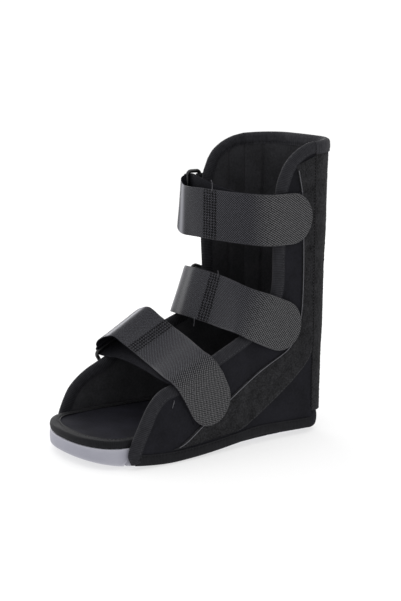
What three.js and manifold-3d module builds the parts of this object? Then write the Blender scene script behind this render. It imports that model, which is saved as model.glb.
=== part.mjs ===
// Ankle stabilizer shoe: a padded upper, open at the toe and down the front, on a foam sole.
// Three webbing straps each double back through a ring on the right side and close on the left.
// Millimetres. +Z is up, the toe points along -Y, +X is the wearer's left, and the floor is z = 0.
import * as THREE from 'three';
import { mergeVertices } from 'three/addons/utils/BufferGeometryUtils.js';
import Module from 'manifold-3d';

// Driving dimensions
const GAP = 0.3;
const PANEL_THICK = 5;
const SEAM_Y = 118.3;
const RIM_Z = 293;
const HEEL_Y = 136;
const BACK_LEAN = 0.061;
const LEG = { half: 60.3, frontHalf: 58.8, frontY: 70, fullY: 95 };
const FOOT_TO_LEG = { from: 80, to: 140 };
const BACK_BOTTOM_Z = 22;
const HEEL_WRAP = { inset: 2.5, thick: 3.8, bottom: 4 };
const TAPE = { width: 12, hem: 10, rim: 13, thick: 0.8, clear: 0.6, mitre: 3, fold: 0.8 };
const STRIP_THICK = 1.5;
const SOLE = { toe: -133, toeStart: -97, inset: 6.8, top: 20.2, power: 2.2, lowBevel: 2, topBevel: 1 };
const UNDERCUT = { from: -45, to: 5, width: 9, height: 6 };
const TOE_SPRING = { rise: 7, start: -60, power: 1.5 };
const TREAD = { pitch: 16, width: 3, depth: 3, first: -101, last: 125, reach: 200 };
const FOOTBED = { thick: 4.4, tapeWidth: 9, overhang: 0.2, toeOverhang: 1.6, toeFrom: -114, toeTo: -100 };
const STRAP = { width: 50, thick: 1.4, tip: 25 };
const TAB = { width: 46, thick: 1.4 };
const RING = { length: 60, reach: 15, bar: 4, corner: 4 };
const WRAP_RADIUS = RING.bar / 2 + STRAP.thick / 2 + 2 * GAP;

// A table with named columns: one object a row.
function table(names, ...rows) {
  const columns = names.split(' ');
  return rows.map((row) => Object.fromEntries(columns.map((name, i) => [name, row[i]])));
}

// Half width of the upper at the foot, outside face.
const FOOT_WIDTH = table('y half',
  [-104, 66.5], [-80, 68.6], [-58, 69.5], [-30, 69], [0, 67],
  [25, 64.5], [50, 62], [75, 60.7], [SEAM_Y, LEG.half]);

// Lower edge of a side panel.
const HEM = table('y z',
  [-97, 5.2], [-81, 3.4], [-59, 2], [-31, 2.6], [0, 4.4],
  [22, 6.2], [46, 8], [66, 7.9], [88, 6.8], [SEAM_Y, 6]);

// Free edge of a side panel, from the toe end of the hem up to the start of the rim curve.
const FRONT_EDGE = table('y z',
  [-97, 5.2], [-99.5, 13], [-96, 25], [-89.5, 39], [-79, 58.5], [-67, 70.5], [-50, 75.8], [-34, 81.5],
  [-8, 94], [26, 107], [46, 116], [61, 129.5], [69, 148], [70, 190], [73, 250], [79.5, 268]);

// Rim curve of a side panel, from there to the back seam.
const RIM_EDGE = table('y z', [79.5, 268], [86, 276.5], [96, 284], [107, 289], [SEAM_Y, 291.5]);

// Front and rear edge of the loop strip, from its low toe end to the rim.
const LOOP_STRIP = table('frontY frontZ rearY rearZ',
  [-50, 14.5, 15, 18], [-32, 19.5, 28, 19.5], [-15.6, 32, 47, 28], [16.7, 55, 76.5, 46],
  [45, 71, 99, 62.5], [65, 80.5, 112, 75], [84, 89, 117.4, 86], [96, 102, 117.7, 101],
  [102, 120, 117.8, 120], [104.4, 141, 117.9, 141], [105, 189, 118, 189], [104, 240, 118, 240],
  [99, 268, 118, 275]);

// Rows for webbing whose two edges run side by side.
function even(rows) {
  return rows.map(({ x, along, slide }) => ({ lowX: x, lowAlong: along, upX: x, upAlong: along, slide }));
}

// Strap routes. lowX, lowAlong and upX, upAlong place the two edges of the webbing: along runs square
// to the lay angle in the YZ plane, up and slide run with it. A strap starts at its sewn end on the left
// side, crosses the front, turns round the bar of its ring and comes back outside to its rounded tip.
const STRAPS = [
  {
    name: 'top', y: 0, z: 220, lay: 90,
    ring: { x: -65.6, along: 49.8, slide: 3.4 },
    tab: table('x along', [-61.8, 108], [-62, 92], [-62.6, 82], [-62.6, 74]),
    inner: even(table('x along slide',
      [61.6, 103.5, 0], [62, 92, 0], [62.6, 80, 0], [62.4, 71, 0], [60.6, 65.2, 0], [55.5, 60, 0],
      [46, 55.6, 0], [29, 50.2, 0], [3, 45.6, 0], [-25, 45, 1], [-47, 48.2, 2.6], [-58, 51.6, 3.4])),
    outer: even(table('x along slide',
      [-58, 44.3, 2.2], [-49, 42.6, 1.2], [-25, 41, 0.4], [4, 42.6, 0], [32, 47.8, 0], [48, 53, 0],
      [57.6, 58, 0], [62.8, 64, 0], [64.6, 71, 0], [64.7, 80, 0], [64.2, 92, 0], [63.6, 104, 0],
      [63.1, 116, 0])),
  },
  {
    name: 'ankle', y: 40, z: 136, lay: 69,
    ring: { x: -66, along: 4.4, slide: 3.4 },
    tab: table('x along', [-62.2, 62], [-62.4, 48], [-62.9, 38], [-62.9, 29]),
    inner: table('lowX lowAlong upX upAlong slide',
      [61.9, 51, 61.3, 51, -6], [62.4, 38, 61.8, 39, -6], [63.3, 24, 62.2, 30.5, -5.5],
      [64.1, 12, 61.6, 23, -5], [64.2, 4.5, 58.6, 17.6, -4.5], [63.2, -1.6, 53, 13.4, -4],
      [58, -4.2, 45, 10, -3.5], [47, -3.6, 34, 6.8, -3], [26, -0.2, 19, 4.4, -2],
      [2, 2.6, 0, 2.8, -0.5], [-25, 3, -25, 3.4, 1.2], [-46, 3.8, -46, 5.4, 3.2], [-58, 4.8, -58, 7, 3.9]),
    outer: table('lowX lowAlong upX upAlong slide',
      [-59.5, -0.6, -59.5, -0.6, 3.2], [-50, -2, -50, -2, 2.4], [-25, -1, -25, -1, 1],
      [3, -0.2, 0, -0.4, -0.5], [28, -3, 20, 0.6, -2], [49, -6.2, 35, 3.2, -3],
      [60, -7, 46.6, 7, -3.5], [65.8, -3.6, 55, 11, -4], [66.2, 3.6, 60.8, 15.8, -4.5],
      [66.1, 12, 63.7, 22.2, -5], [65.3, 24, 64.2, 30, -5.5], [64.4, 38, 63.8, 39, -6],
      [63.9, 52, 63.2, 52, -6], [63.7, 66, 63, 66, -6]),
  },
  {
    name: 'foot', y: -17.5, z: 64, lay: 28,
    ring: { x: -75, along: -34, slide: 6 },
    tab: table('x along', [-71, 20], [-71.2, 6], [-72, -5], [-72, -12]),
    inner: table('lowX lowAlong upX upAlong slide',
      [70.3, 20, 67.1, 20, -1.6], [70.5, 5, 67.7, 5, -1], [71.8, -8, 69.8, -8, -1],
      [72.4, -19, 70.2, -15.5, -2], [72.4, -25.5, 70.3, -21, -3], [70, -30.2, 68, -26.2, -4],
      [63, -31.2, 61, -27.4, -4.5], [45, -30.8, 43, -28, -3], [20, -29.6, 18, -27.8, 1],
      [-10, -29.4, -11, -28.6, 4.5], [-40, -29.8, -40, -29.6, 7], [-62, -30.4, -62, -30.4, 7]),
    outer: table('lowX lowAlong upX upAlong slide',
      [-69, -40.5, -69, -41.5, 7.5], [-61, -44.6, -61, -45.6, 12], [-51, -45.2, -51, -46.2, 15.8],
      [-36, -39.4, -36, -38.9, 15.6], [-19, -34.6, -19, -33.2, 14], [20, -31.4, 18, -30, 7],
      [46, -32.8, 44, -30, 0.5], [63, -33.4, 61.2, -29.6, -3.5], [72, -31.6, 69.8, -27.6, -4],
      [74.4, -25, 72.2, -21, -3], [74.3, -18, 72.1, -14.5, -2], [73.7, -8, 71.7, -8, -1],
      [72.4, 6, 69.7, 6, -0.5], [72, 20, 69.2, 20, -0.5], [71.6, 34, 69, 34, -1]),
  },
];

// Finishes
const FINISH = {
  sole: { color: '#a3a3ae', roughness: 0.75, metalness: 0 },
  panel: { color: '#1d1d20', roughness: 0.9, metalness: 0 },
  pile: { color: '#29292a', roughness: 1, metalness: 0 },
  tape: { color: '#37373a', roughness: 0.8, metalness: 0 },
  webbing: { color: '#434347', roughness: 0.7, metalness: 0 },
  insole: { color: '#16161a', roughness: 0.95, metalness: 0 },
  plastic: { color: '#141416', roughness: 0.35, metalness: 0 },
};

const wasm = await Module();
wasm.setup();
const shoe = new THREE.Group();
const { lerp, clamp, smoothstep, degToRad } = THREE.MathUtils;

// Curves and surfaces of the upper

function smooth(rows, key, value) {
  const keys = rows.map((row) => row[key]);
  const curve = new THREE.CubicInterpolant(keys, rows.map((row) => row[value]), 1);
  return (at) => curve.evaluate(clamp(at, keys[0], keys[keys.length - 1]))[0];
}

const footHalf = smooth(FOOT_WIDTH, 'y', 'half');
const hemZ = smooth(HEM, 'y', 'z');

// Outside half width of a side panel: the foot's width low down, a little drawn in at the leg's front edge.
function sideHalf(y, z) {
  const leg = lerp(LEG.frontHalf, LEG.half, smoothstep(y, LEG.frontY, LEG.fullY));
  return lerp(footHalf(y), leg, smoothstep(z, FOOT_TO_LEG.from, FOOT_TO_LEG.to));
}

// A point out from the outside face of a side panel; side is +1 for left and -1 for right.
function onSide(side, y, z, out) {
  return new THREE.Vector3(side * (sideHalf(y, z) + out), y, z);
}

// A point out from the outside face of the back, turn running from -1 at the left seam to +1.
function onBack(turn, z, out) {
  const radius = HEEL_Y + BACK_LEAN * z - SEAM_Y;
  const arc = (Math.PI / 2) * radius;
  const flat = LEG.half - radius;
  const run = Math.abs(turn) * (arc + flat);
  const side = turn < 0 ? 1 : -1;
  if (run <= flat) return new THREE.Vector3(side * run, SEAM_Y + radius + out, z);
  const angle = (run - flat) / radius;
  const reach = radius + out;
  return new THREE.Vector3(side * (flat + reach * Math.sin(angle)), SEAM_Y + reach * Math.cos(angle), z);
}

function rimZ(turn) {
  return lerp(RIM_Z, RIM_EDGE.at(-1).z, Math.abs(turn) ** 2);
}

// Solids

function body(points, faces) {
  const geometry = new THREE.BufferGeometry().setFromPoints(points);
  const volume = faces.reduce((sum, [a, b, c]) => {
    const normal = new THREE.Vector3().crossVectors(points[b], points[c]);
    return sum + points[a].dot(normal);
  }, 0);
  geometry.setIndex((volume < 0 ? faces.map(([a, b, c]) => [a, c, b]) : faces).flat());
  return geometry;
}

const quad = (a, b, c, d) => [[a, b, c], [a, c, d]];

// A sheet with thickness: a grid of cells, each holding an outer and an inner point.
function slab(grid) {
  const rows = grid.length;
  const columns = grid[0].length;
  const points = grid.flat().flatMap((cell) => [cell.outer, cell.inner]);
  const outer = (i, j) => 2 * (i * columns + j);
  const inner = (i, j) => outer(i, j) + 1;
  const faces = [];
  for (let i = 0; i + 1 < rows; i += 1) {
    for (let j = 0; j + 1 < columns; j += 1) {
      faces.push(...quad(outer(i, j), outer(i + 1, j), outer(i + 1, j + 1), outer(i, j + 1)));
      faces.push(...quad(inner(i, j), inner(i, j + 1), inner(i + 1, j + 1), inner(i + 1, j)));
    }
  }
  const border = [];
  for (let j = 0; j < columns - 1; j += 1) border.push([0, j]);
  for (let i = 0; i < rows - 1; i += 1) border.push([i, columns - 1]);
  for (let j = columns - 1; j > 0; j -= 1) border.push([rows - 1, j]);
  for (let i = rows - 1; i > 0; i -= 1) border.push([i, 0]);
  border.forEach((a, k) => {
    const b = border[(k + 1) % border.length];
    faces.push(...quad(outer(...a), outer(...b), inner(...b), inner(...a)));
  });
  return body(points, faces);
}

// A body through rings of points, closed on itself or by the triangles given for its two ends.
function loft(rings, ends) {
  const size = rings[0].length;
  const closed = !ends;
  const points = rings.flat();
  const faces = [];
  const last = closed ? rings.length : rings.length - 1;
  for (let k = 0; k < last; k += 1) {
    const here = k * size;
    const next = ((k + 1) % rings.length) * size;
    for (let i = 0; i < size; i += 1) {
      const j = (i + 1) % size;
      faces.push(...quad(here + i, here + j, next + j, next + i));
    }
  }
  if (!closed) {
    const end = (rings.length - 1) * size;
    for (const [a, b, c] of ends) {
      faces.push([c, b, a], [end + a, end + b, end + c]);
    }
  }
  return body(points, faces);
}

function toSolid(geometry) {
  const bare = mergeVertices(geometry);
  const vertProperties = Float32Array.from(bare.attributes.position.array);
  const triVerts = Uint32Array.from(bare.index.array);
  return new wasm.Manifold(new wasm.Mesh({ numProp: 3, vertProperties, triVerts }));
}

function fromSolid(solid) {
  const mesh = solid.getMesh();
  const geometry = new THREE.BufferGeometry();
  geometry.setAttribute('position', new THREE.BufferAttribute(mesh.vertProperties, 3));
  return geometry.setIndex(new THREE.BufferAttribute(mesh.triVerts, 1));
}

function add(name, geometry, finish) {
  const mesh = new THREE.Mesh(geometry, new THREE.MeshStandardMaterial(FINISH[finish]));
  mesh.name = name;
  shoe.add(mesh);
}

// Side panels

const edgePoints = (rows) => new THREE.CatmullRomCurve3(rows.map(({ y, z }) => new THREE.Vector3(0, y, z)));
const PANEL_ROWS = 26;
const PANEL_COLUMNS = 8;
const HEM_RISE = 0.12;
const RIM_ROWS = 5;
const RIM_EASE = 1.5;
const frontEdge = edgePoints(FRONT_EDGE).getSpacedPoints(PANEL_ROWS);
const rimEdge = edgePoints(RIM_EDGE).getSpacedPoints(PANEL_COLUMNS);

// Rows run from the hem to the rim and columns from the front edge to the back seam; the lowest rows take
// up the hem's arch and the highest ones the rim's curve.
function sidePanel(side) {
  const low = frontEdge[0];
  const high = frontEdge[PANEL_ROWS];
  const seamLow = hemZ(SEAM_Y);
  const seamHigh = RIM_EDGE.at(-1).z;
  const grid = frontEdge.map((front, i) => {
    const rise = (front.z - low.z) / (high.z - low.z);
    const seamZ = lerp(seamLow, seamHigh, rise);
    const hemShare = Math.max(0, 1 - rise / HEM_RISE);
    const rimShare = Math.max(0, 1 - (PANEL_ROWS - i) / RIM_ROWS) ** RIM_EASE;
    return rimEdge.map((rim, j) => {
      const share = j / PANEL_COLUMNS;
      const rimStraight = new THREE.Vector3().lerpVectors(high, rimEdge[PANEL_COLUMNS], share);
      const y = lerp(front.y, SEAM_Y, share) + rimShare * (rim.y - rimStraight.y);
      const hemBulge = hemZ(y) - lerp(low.z, seamLow, share);
      const z = lerp(front.z, seamZ, share) + hemShare * hemBulge + rimShare * (rim.z - rimStraight.z);
      return { outer: onSide(side, y, z, 0), inner: onSide(side, y, z, -PANEL_THICK) };
    });
  });
  return slab(grid);
}

// Tapes folded over an edge: a C section, with b running in from the edge and n out from mid wall.

function tapeSection(width, wall) {
  const half = wall / 2 + TAPE.clear;
  const face = half + TAPE.thick;
  const fold = TAPE.clear + TAPE.thick;
  const shoulder = fold / 3;
  const cheek = half * TAPE.fold;
  const points = [[width, half], [width, face], [shoulder, face], [-fold, cheek], [-fold, -cheek],
    [shoulder, -face], [width, -face], [width, -half], [-TAPE.clear, -half], [-TAPE.clear, half]];
  return points.map(([b, n]) => new THREE.Vector2(b, n));
}

// Triangles that close an end of that section.
const TAPE_END = [[0, 1, 2], [0, 2, 9], [9, 2, 3], [9, 3, 4], [9, 4, 8], [8, 4, 5], [8, 5, 7], [7, 5, 6]];

// Tape along a line of edge points of a side panel.
function sideTape(side, line, width) {
  const section = tapeSection(width, PANEL_THICK);
  const rings = line.map((point, i) => {
    const before = line[Math.max(0, i - 1)];
    const after = line[Math.min(line.length - 1, i + 1)];
    const along = after.clone().sub(before).normalize();
    return section.map(({ x: b, y: n }) => {
      const y = Math.min(SEAM_Y, point.y + b * along.z);
      const z = point.z - b * along.y;
      return onSide(side, y, z, n - PANEL_THICK / 2);
    });
  });
  return loft(rings, TAPE_END);
}

const HEM_STEPS = 20;
for (const [side, name] of [[1, 'left'], [-1, 'right']]) {
  add(`${name}_panel`, sidePanel(side), 'panel');
  const edge = [...frontEdge, ...rimEdge.slice(1)];
  add(`${name}_edge_binding`, sideTape(side, edge, TAPE.width), 'tape');
  const hemStart = FRONT_EDGE[0].y + TAPE.width + TAPE.mitre;
  const hem = Array.from({ length: HEM_STEPS + 1 }, (_, i) => {
    const y = lerp(SEAM_Y, hemStart, i / HEM_STEPS);
    return new THREE.Vector3(0, y, hemZ(y));
  });
  add(`${name}_hem_binding`, sideTape(side, hem, TAPE.hem), 'tape');
}

// Back panel, heel wrap and rim tape

const BACK_TURNS = 22;
const SEAM_TURN = 1 - GAP / (HEEL_Y - SEAM_Y + LEG.half);
const turns = Array.from({ length: BACK_TURNS + 1 }, (_, i) => lerp(-SEAM_TURN, SEAM_TURN, i / BACK_TURNS));

function backBand(bottom, top, levels, out, thick) {
  return slab(Array.from({ length: levels + 1 }, (_, i) => turns.map((turn) => {
    const z = lerp(bottom, top(turn), i / levels);
    return { outer: onBack(turn, z, out), inner: onBack(turn, z, out - thick) };
  })));
}

add('back_panel', backBand(BACK_BOTTOM_Z, rimZ, 6, 0, PANEL_THICK), 'pile');
const wrapTop = BACK_BOTTOM_Z - GAP;
add('heel_wrap', backBand(HEEL_WRAP.bottom, () => wrapTop, 2, -HEEL_WRAP.inset, HEEL_WRAP.thick), 'panel');

const rimSection = tapeSection(TAPE.rim, PANEL_THICK);
const rimRings = turns.map((turn) => rimSection.map(({ x: b, y: n }) => (
  onBack(turn, rimZ(turn) - b, n - PANEL_THICK / 2))));
add('rim_binding', loft(rimRings, TAPE_END), 'tape');

// Loop strip on the left panel

const STRIP_COLUMNS = 4;
const stripFront = edgePoints(LOOP_STRIP.map((row) => ({ y: row.frontY, z: row.frontZ })));
const stripRear = edgePoints(LOOP_STRIP.map((row) => ({ y: row.rearY, z: row.rearZ })));
const STRIP_ROWS = 2 * (LOOP_STRIP.length - 1);
const stripGrid = Array.from({ length: STRIP_ROWS + 1 }, (_, i) => {
  const front = stripFront.getPoint(i / STRIP_ROWS);
  const rear = stripRear.getPoint(i / STRIP_ROWS);
  return Array.from({ length: STRIP_COLUMNS + 1 }, (__, j) => {
    const { y, z } = new THREE.Vector3().lerpVectors(front, rear, j / STRIP_COLUMNS);
    return { outer: onSide(1, y, z, GAP + STRIP_THICK), inner: onSide(1, y, z, GAP) };
  });
});
add('loop_strip', slab(stripGrid), 'pile');

// Sole: a round toe, sides that follow the upper, and round heel corners

const TOE_STEPS = 11;
const SIDE_STEPS = 8;
const HEEL_STEPS = 6;
const HEEL_TURN = 0.7;

function soleOutline() {
  const half = (y) => footHalf(y) - SOLE.inset;
  const bend = 2 / SOLE.power;
  const toe = Array.from({ length: TOE_STEPS }, (_, i) => {
    const angle = (Math.PI / 2) * (1 - i / TOE_STEPS);
    const x = half(SOLE.toeStart) * Math.cos(angle) ** bend;
    return new THREE.Vector2(x, lerp(SOLE.toeStart, SOLE.toe, Math.sin(angle) ** bend));
  });
  const sides = Array.from({ length: SIDE_STEPS }, (_, i) => {
    const y = lerp(SOLE.toeStart, SEAM_Y, i / SIDE_STEPS);
    return new THREE.Vector2(half(y), y);
  });
  const heel = Array.from({ length: HEEL_STEPS + 1 }, (_, i) => {
    const { x, y } = onBack(-1 + HEEL_TURN * (i / HEEL_STEPS), 0, -SOLE.inset);
    return new THREE.Vector2(x, y);
  });
  const left = [...toe, ...sides, ...heel];
  const right = left.slice(1).reverse().map(({ x, y }) => new THREE.Vector2(-x, y));
  return [...left, ...right];
}

// The outline moved out by a distance, which may change along the foot.
function grown(outline, distance) {
  return outline.map((point, i) => {
    const before = outline[(i - 1 + outline.length) % outline.length];
    const after = outline[(i + 1) % outline.length];
    const along = after.clone().sub(before).normalize();
    const out = distance(point.y);
    return new THREE.Vector2(point.x + out * along.y, point.y - out * along.x);
  });
}

function springZ(y) {
  const share = Math.max(0, (TOE_SPRING.start - y) / (TOE_SPRING.start - SOLE.toe));
  return TOE_SPRING.rise * share ** TOE_SPRING.power;
}

const outline = soleOutline();

// Triangles that fill the outline in rungs from side to side, so the underside bends only along the foot.
const soleFace = [[0, 1, outline.length - 1]];
for (let k = 1; k < (outline.length - 1) / 2; k += 1) {
  const across = outline.length - k;
  soleFace.push(...quad(k, k + 1, across - 1, across));
}

// A block that follows the outline, with its lower and upper edges bevelled and grooves across its tread.
// From the arch to the heel the lower edge is cut back further, behind the hem.
function outsole() {
  const lowEdge = (size) => (y) => lerp(SOLE.lowBevel, size, smoothstep(y, UNDERCUT.from, UNDERCUT.to));
  const lowRise = lowEdge(UNDERCUT.height);
  const level = (inset, height) => grown(outline, (y) => -inset(y)).map(({ x, y }) => (
    new THREE.Vector3(x, y, height(y))));
  const solid = toSolid(loft([
    level(lowEdge(UNDERCUT.width), springZ),
    level(() => 0, (y) => springZ(y) + lowRise(y)),
    level(() => 0, () => SOLE.top - SOLE.topBevel),
    level(() => SOLE.topBevel, () => SOLE.top),
  ], soleFace));
  let cut = solid;
  for (let y = TREAD.first; y < TREAD.last; y += TREAD.pitch) {
    const groove = new THREE.BoxGeometry(TREAD.reach, TREAD.width, 2 * TREAD.depth);
    groove.deleteAttribute('normal');
    groove.deleteAttribute('uv');
    groove.translate(0, y, springZ(y));
    cut = cut.subtract(toSolid(groove));
  }
  return fromSolid(cut);
}

add('outsole', outsole(), 'sole');

// Footbed: a flat board on the sole, with a tape folded round its rim

const bedHalf = FOOTBED.thick / 2;
const bedMid = SOLE.top + GAP + TAPE.thick + TAPE.clear + bedHalf;

function bedLevel(grow, z) {
  const edge = (y) => {
    const back = smoothstep(y, FOOTBED.toeFrom, FOOTBED.toeTo);
    return lerp(FOOTBED.toeOverhang, FOOTBED.overhang, back) - TAPE.clear - TAPE.thick + grow;
  };
  return grown(outline, edge).map(({ x, y }) => new THREE.Vector3(x, y, z));
}

add('footbed', loft([bedLevel(0, bedMid - bedHalf), bedLevel(0, bedMid + bedHalf)], soleFace), 'insole');

const bedSection = tapeSection(FOOTBED.tapeWidth, FOOTBED.thick);
const bedRings = bedSection.map(({ x: b, y: n }) => bedLevel(-b, bedMid + n));
const aroundBed = outline.map((_, i) => bedRings.map((ring) => ring[i]));
add('footbed_binding', loft(aroundBed), 'tape');

// Straps, rings and tabs

// Placing in a strap's own frame: along runs square to the webbing in the YZ plane, up runs with its width.
function strapFrame({ y, z, lay }) {
  const angle = degToRad(lay);
  const along = new THREE.Vector3(0, Math.sin(angle), -Math.cos(angle));
  const up = new THREE.Vector3(0, Math.cos(angle), Math.sin(angle));
  const origin = new THREE.Vector3(0, y, z);
  return (x, run, slide) => {
    const point = origin.clone().addScaledVector(along, run).addScaledVector(up, slide);
    return point.setX(x);
  };
}

// Rows of webbing half way round a bar, past its outside, from the given start angle.
const BAR_STEPS = 4;
function roundBar({ x, along }, slide, start) {
  return even(Array.from({ length: BAR_STEPS + 1 }, (_, i) => {
    const angle = start + (i / BAR_STEPS) * Math.PI;
    return { x: x - WRAP_RADIUS * Math.sin(angle), along: along + WRAP_RADIUS * Math.cos(angle), slide };
  }));
}

// Webbing along a route: two edge curves brought to an even width, with a square start. A tip is a half
// round end of that radius; it narrows to a short blunt edge.
const ROW_STEPS = 2;
const TIP_STEPS = 8;
const TIP_SWEEP = 0.47 * Math.PI;
const BLUNT = 0.03;
const LOOK_AHEAD = 0.002;

function webbing(place, route, { width, thick, tip }) {
  const edge = (x, run, offset) => new THREE.CatmullRomCurve3(
    route.map((row) => place(row[x], row[run], row.slide + offset)), false, 'centripetal');
  const low = edge('lowX', 'lowAlong', -width / 2);
  const high = edge('upX', 'upAlong', width / 2);
  const middle = (t) => low.getPoint(t).lerp(high.getPoint(t), 0.5);
  const spans = route.length - 1;
  const plainSpans = tip ? spans - 1 : spans;
  const stations = Array.from({ length: plainSpans * ROW_STEPS + 1 }, (_, i) => i / (spans * ROW_STEPS));
  for (let i = 1; tip && i <= TIP_STEPS; i += 1) {
    stations.push(lerp(plainSpans / spans, 1, Math.sin((i / TIP_STEPS) * TIP_SWEEP)));
  }
  const end = middle(1);
  const grid = stations.map((t) => {
    const across = high.getPoint(t).sub(low.getPoint(t)).normalize();
    const ahead = middle(Math.min(1, t + LOOK_AHEAD)).sub(middle(Math.max(0, t - LOOK_AHEAD)));
    const normal = new THREE.Vector3().crossVectors(across, ahead).normalize();
    const near = tip ? Math.max(0, 1 - middle(t).distanceTo(end) / tip) : 0;
    const half = (width / 2) * Math.sqrt(Math.max(BLUNT, 1 - near ** 2));
    return [-half, half].map((offset) => {
      const at = middle(t).addScaledVector(across, offset);
      return {
        outer: at.clone().addScaledVector(normal, thick / 2),
        inner: at.clone().addScaledVector(normal, -thick / 2),
      };
    });
  });
  return slab(grid);
}

// A moulded loop: a round bar bent to a rectangle, standing in the plane of its strap's frame.
const CORNER_STEPS = 3;
const BAR_SIDES = 8;

function ring(place, { x, along, slide }) {
  const reach = RING.reach / 2;
  const half = (RING.length - RING.bar) / 2;
  const corners = [[1, 1], [-1, 1], [-1, -1], [1, -1]];
  const path = corners.flatMap(([a, s], k) => Array.from({ length: CORNER_STEPS + 1 }, (_, i) => {
    const angle = (k + i / CORNER_STEPS) * (Math.PI / 2);
    const out = [Math.cos(angle), Math.sin(angle)];
    const run = a * (reach - RING.corner) + RING.corner * out[0];
    const rise = s * (half - RING.corner) + RING.corner * out[1];
    return { run, rise, out };
  }));
  const section = Array.from({ length: BAR_SIDES }, (_, i) => {
    const angle = (i / BAR_SIDES) * Math.PI * 2;
    return new THREE.Vector2(Math.cos(angle), Math.sin(angle)).multiplyScalar(RING.bar / 2);
  });
  const rings = path.map(({ run, rise, out }) => section.map(({ x: far, y: sideways }) => (
    place(x + sideways, along + reach + run + far * out[0], slide + rise + far * out[1]))));
  return loft(rings);
}

// A tab starts on the panel, turns round the ring's rear bar and comes back over itself.
function tabRoute(rows, { x, along, slide }) {
  const layer = TAB.thick + GAP;
  const spread = 2 * WRAP_RADIUS - layer;
  const under = rows.map((row) => ({ ...row, slide }));
  const over = under.map((row, i) => ({ ...row, x: row.x - layer - spread * (i / rows.length) ** 2 }));
  const fold = roundBar({ x, along: along + RING.reach }, slide, Math.PI / 2);
  return [...even(under), ...fold.reverse(), ...even(over.reverse())];
}

for (const strap of STRAPS) {
  const place = strapFrame(strap);
  const fold = roundBar(strap.ring, strap.ring.slide, 0);
  add(`strap_${strap.name}`, webbing(place, [...strap.inner, ...fold, ...strap.outer], STRAP), 'webbing');
  add(`ring_${strap.name}`, ring(place, strap.ring), 'plastic');
  add(`tab_${strap.name}`, webbing(place, tabRoute(strap.tab, strap.ring), TAB), 'webbing');
}

export default shoe;
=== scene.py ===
import math

import bpy
import numpy as np
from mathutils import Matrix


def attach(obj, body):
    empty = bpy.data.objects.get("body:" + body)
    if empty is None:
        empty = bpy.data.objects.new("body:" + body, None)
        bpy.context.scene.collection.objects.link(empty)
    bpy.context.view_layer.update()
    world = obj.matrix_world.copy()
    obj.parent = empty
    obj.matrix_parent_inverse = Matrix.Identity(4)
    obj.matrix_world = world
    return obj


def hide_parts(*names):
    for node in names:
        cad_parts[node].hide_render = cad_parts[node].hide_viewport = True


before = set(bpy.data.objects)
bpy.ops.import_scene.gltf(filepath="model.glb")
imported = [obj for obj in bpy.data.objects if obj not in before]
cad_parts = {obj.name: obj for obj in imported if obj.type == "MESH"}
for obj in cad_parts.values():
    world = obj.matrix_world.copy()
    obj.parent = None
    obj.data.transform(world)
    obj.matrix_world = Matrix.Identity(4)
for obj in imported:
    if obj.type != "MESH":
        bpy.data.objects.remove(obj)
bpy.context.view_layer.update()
bpy.ops.object.select_all(action="DESELECT")

MM = 0.001
DRAW = np.random.default_rng(7)

# Sizes of the upper
PANEL_THICK = 5.0
SEAM_Y = 118.3
RIM_Z = 293.0
RIM_SEAM_Z = 291.5
HEEL_Y = 136.0
BACK_LEAN = 0.061
LEG_HALF, LEG_FRONT_HALF = 60.3, 58.8
LEG_FRONT_Y, LEG_FULL_Y = 70.0, 95.0
FOOT_TO_LEG = (80.0, 140.0)
BACK_BOTTOM_Z = 22.0
WRAP_BOTTOM_Z, WRAP_INSET, WRAP_THICK = 4.0, 2.5, 3.8
STRIP_THICK = 1.5
GAP = 0.3

# Binding tape: widths on the free edge, hem and rim, and how it lies on the padding
TAPE_WIDTH, HEM_WIDTH, RIM_WIDTH, BED_TAPE_WIDTH = 9.6, 10.0, 11.0, 9.0
TAPE_THICK, TAPE_CLEAR = 0.8, 0.6
TAPE_MITRE = 3.0

# Sole and footbed
SOLE_TOE, SOLE_TOE_START, SOLE_INSET, SOLE_TOP, SOLE_POWER = -133.0, -97.0, 6.8, 20.2, 2.2
SPRING_RISE, SPRING_START, SPRING_POWER = 7.0, -60.0, 1.5
LOW_BEVEL, TOP_BEVEL, WALL_BULGE, SOLE_ANGLE = 2.0, 1.2, 0.35, 40
# Turn round the back at which the sole's outline ends and runs straight across
SOLE_END_TURN = -0.3
UNDERCUT_Y, UNDERCUT_WIDTH, UNDERCUT_HEIGHT = (-45.0, 5.0), 9.0, 6.0
TREAD_PITCH, TREAD_WIDTH, TREAD_DEPTH, TREAD_FIRST, TREAD_LAST = 16.0, 3.0, 3.0, -101.0, 125.0
BED_THICK, BED_OVERHANG = 4.4, 0.2

# Webbing and rings
STRAP_WIDTH, STRAP_THICK, STRAP_TIP = 50.0, 1.6, 25.0
TAB_WIDTH, TAB_THICK, TAB_BOX_START, TAB_BOX_END = 46.0, STRAP_THICK - 0.2, 20.0, 4.0
RING_LENGTH, RING_REACH, RING_BAR, RING_CORNER = 60.0, 15.0, 4.0, 4.0
WRAP_RADIUS = 3.3

# Half width of the upper at the foot: y, half
FOOT_WIDTH = [
    (-104, 66.5), (-80, 68.6), (-58, 69.5), (-30, 69), (0, 67), (25, 64.5), (50, 62), (75, 60.7),
    (SEAM_Y, LEG_HALF)]
# Lower edge of a side panel: y, z
HEM = [
    (-97, 5.2), (-81, 3.4), (-59, 2), (-31, 2.6), (0, 4.4), (22, 6.2), (46, 8), (66, 7.9), (88, 6.8),
    (SEAM_Y, 6)]
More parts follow.
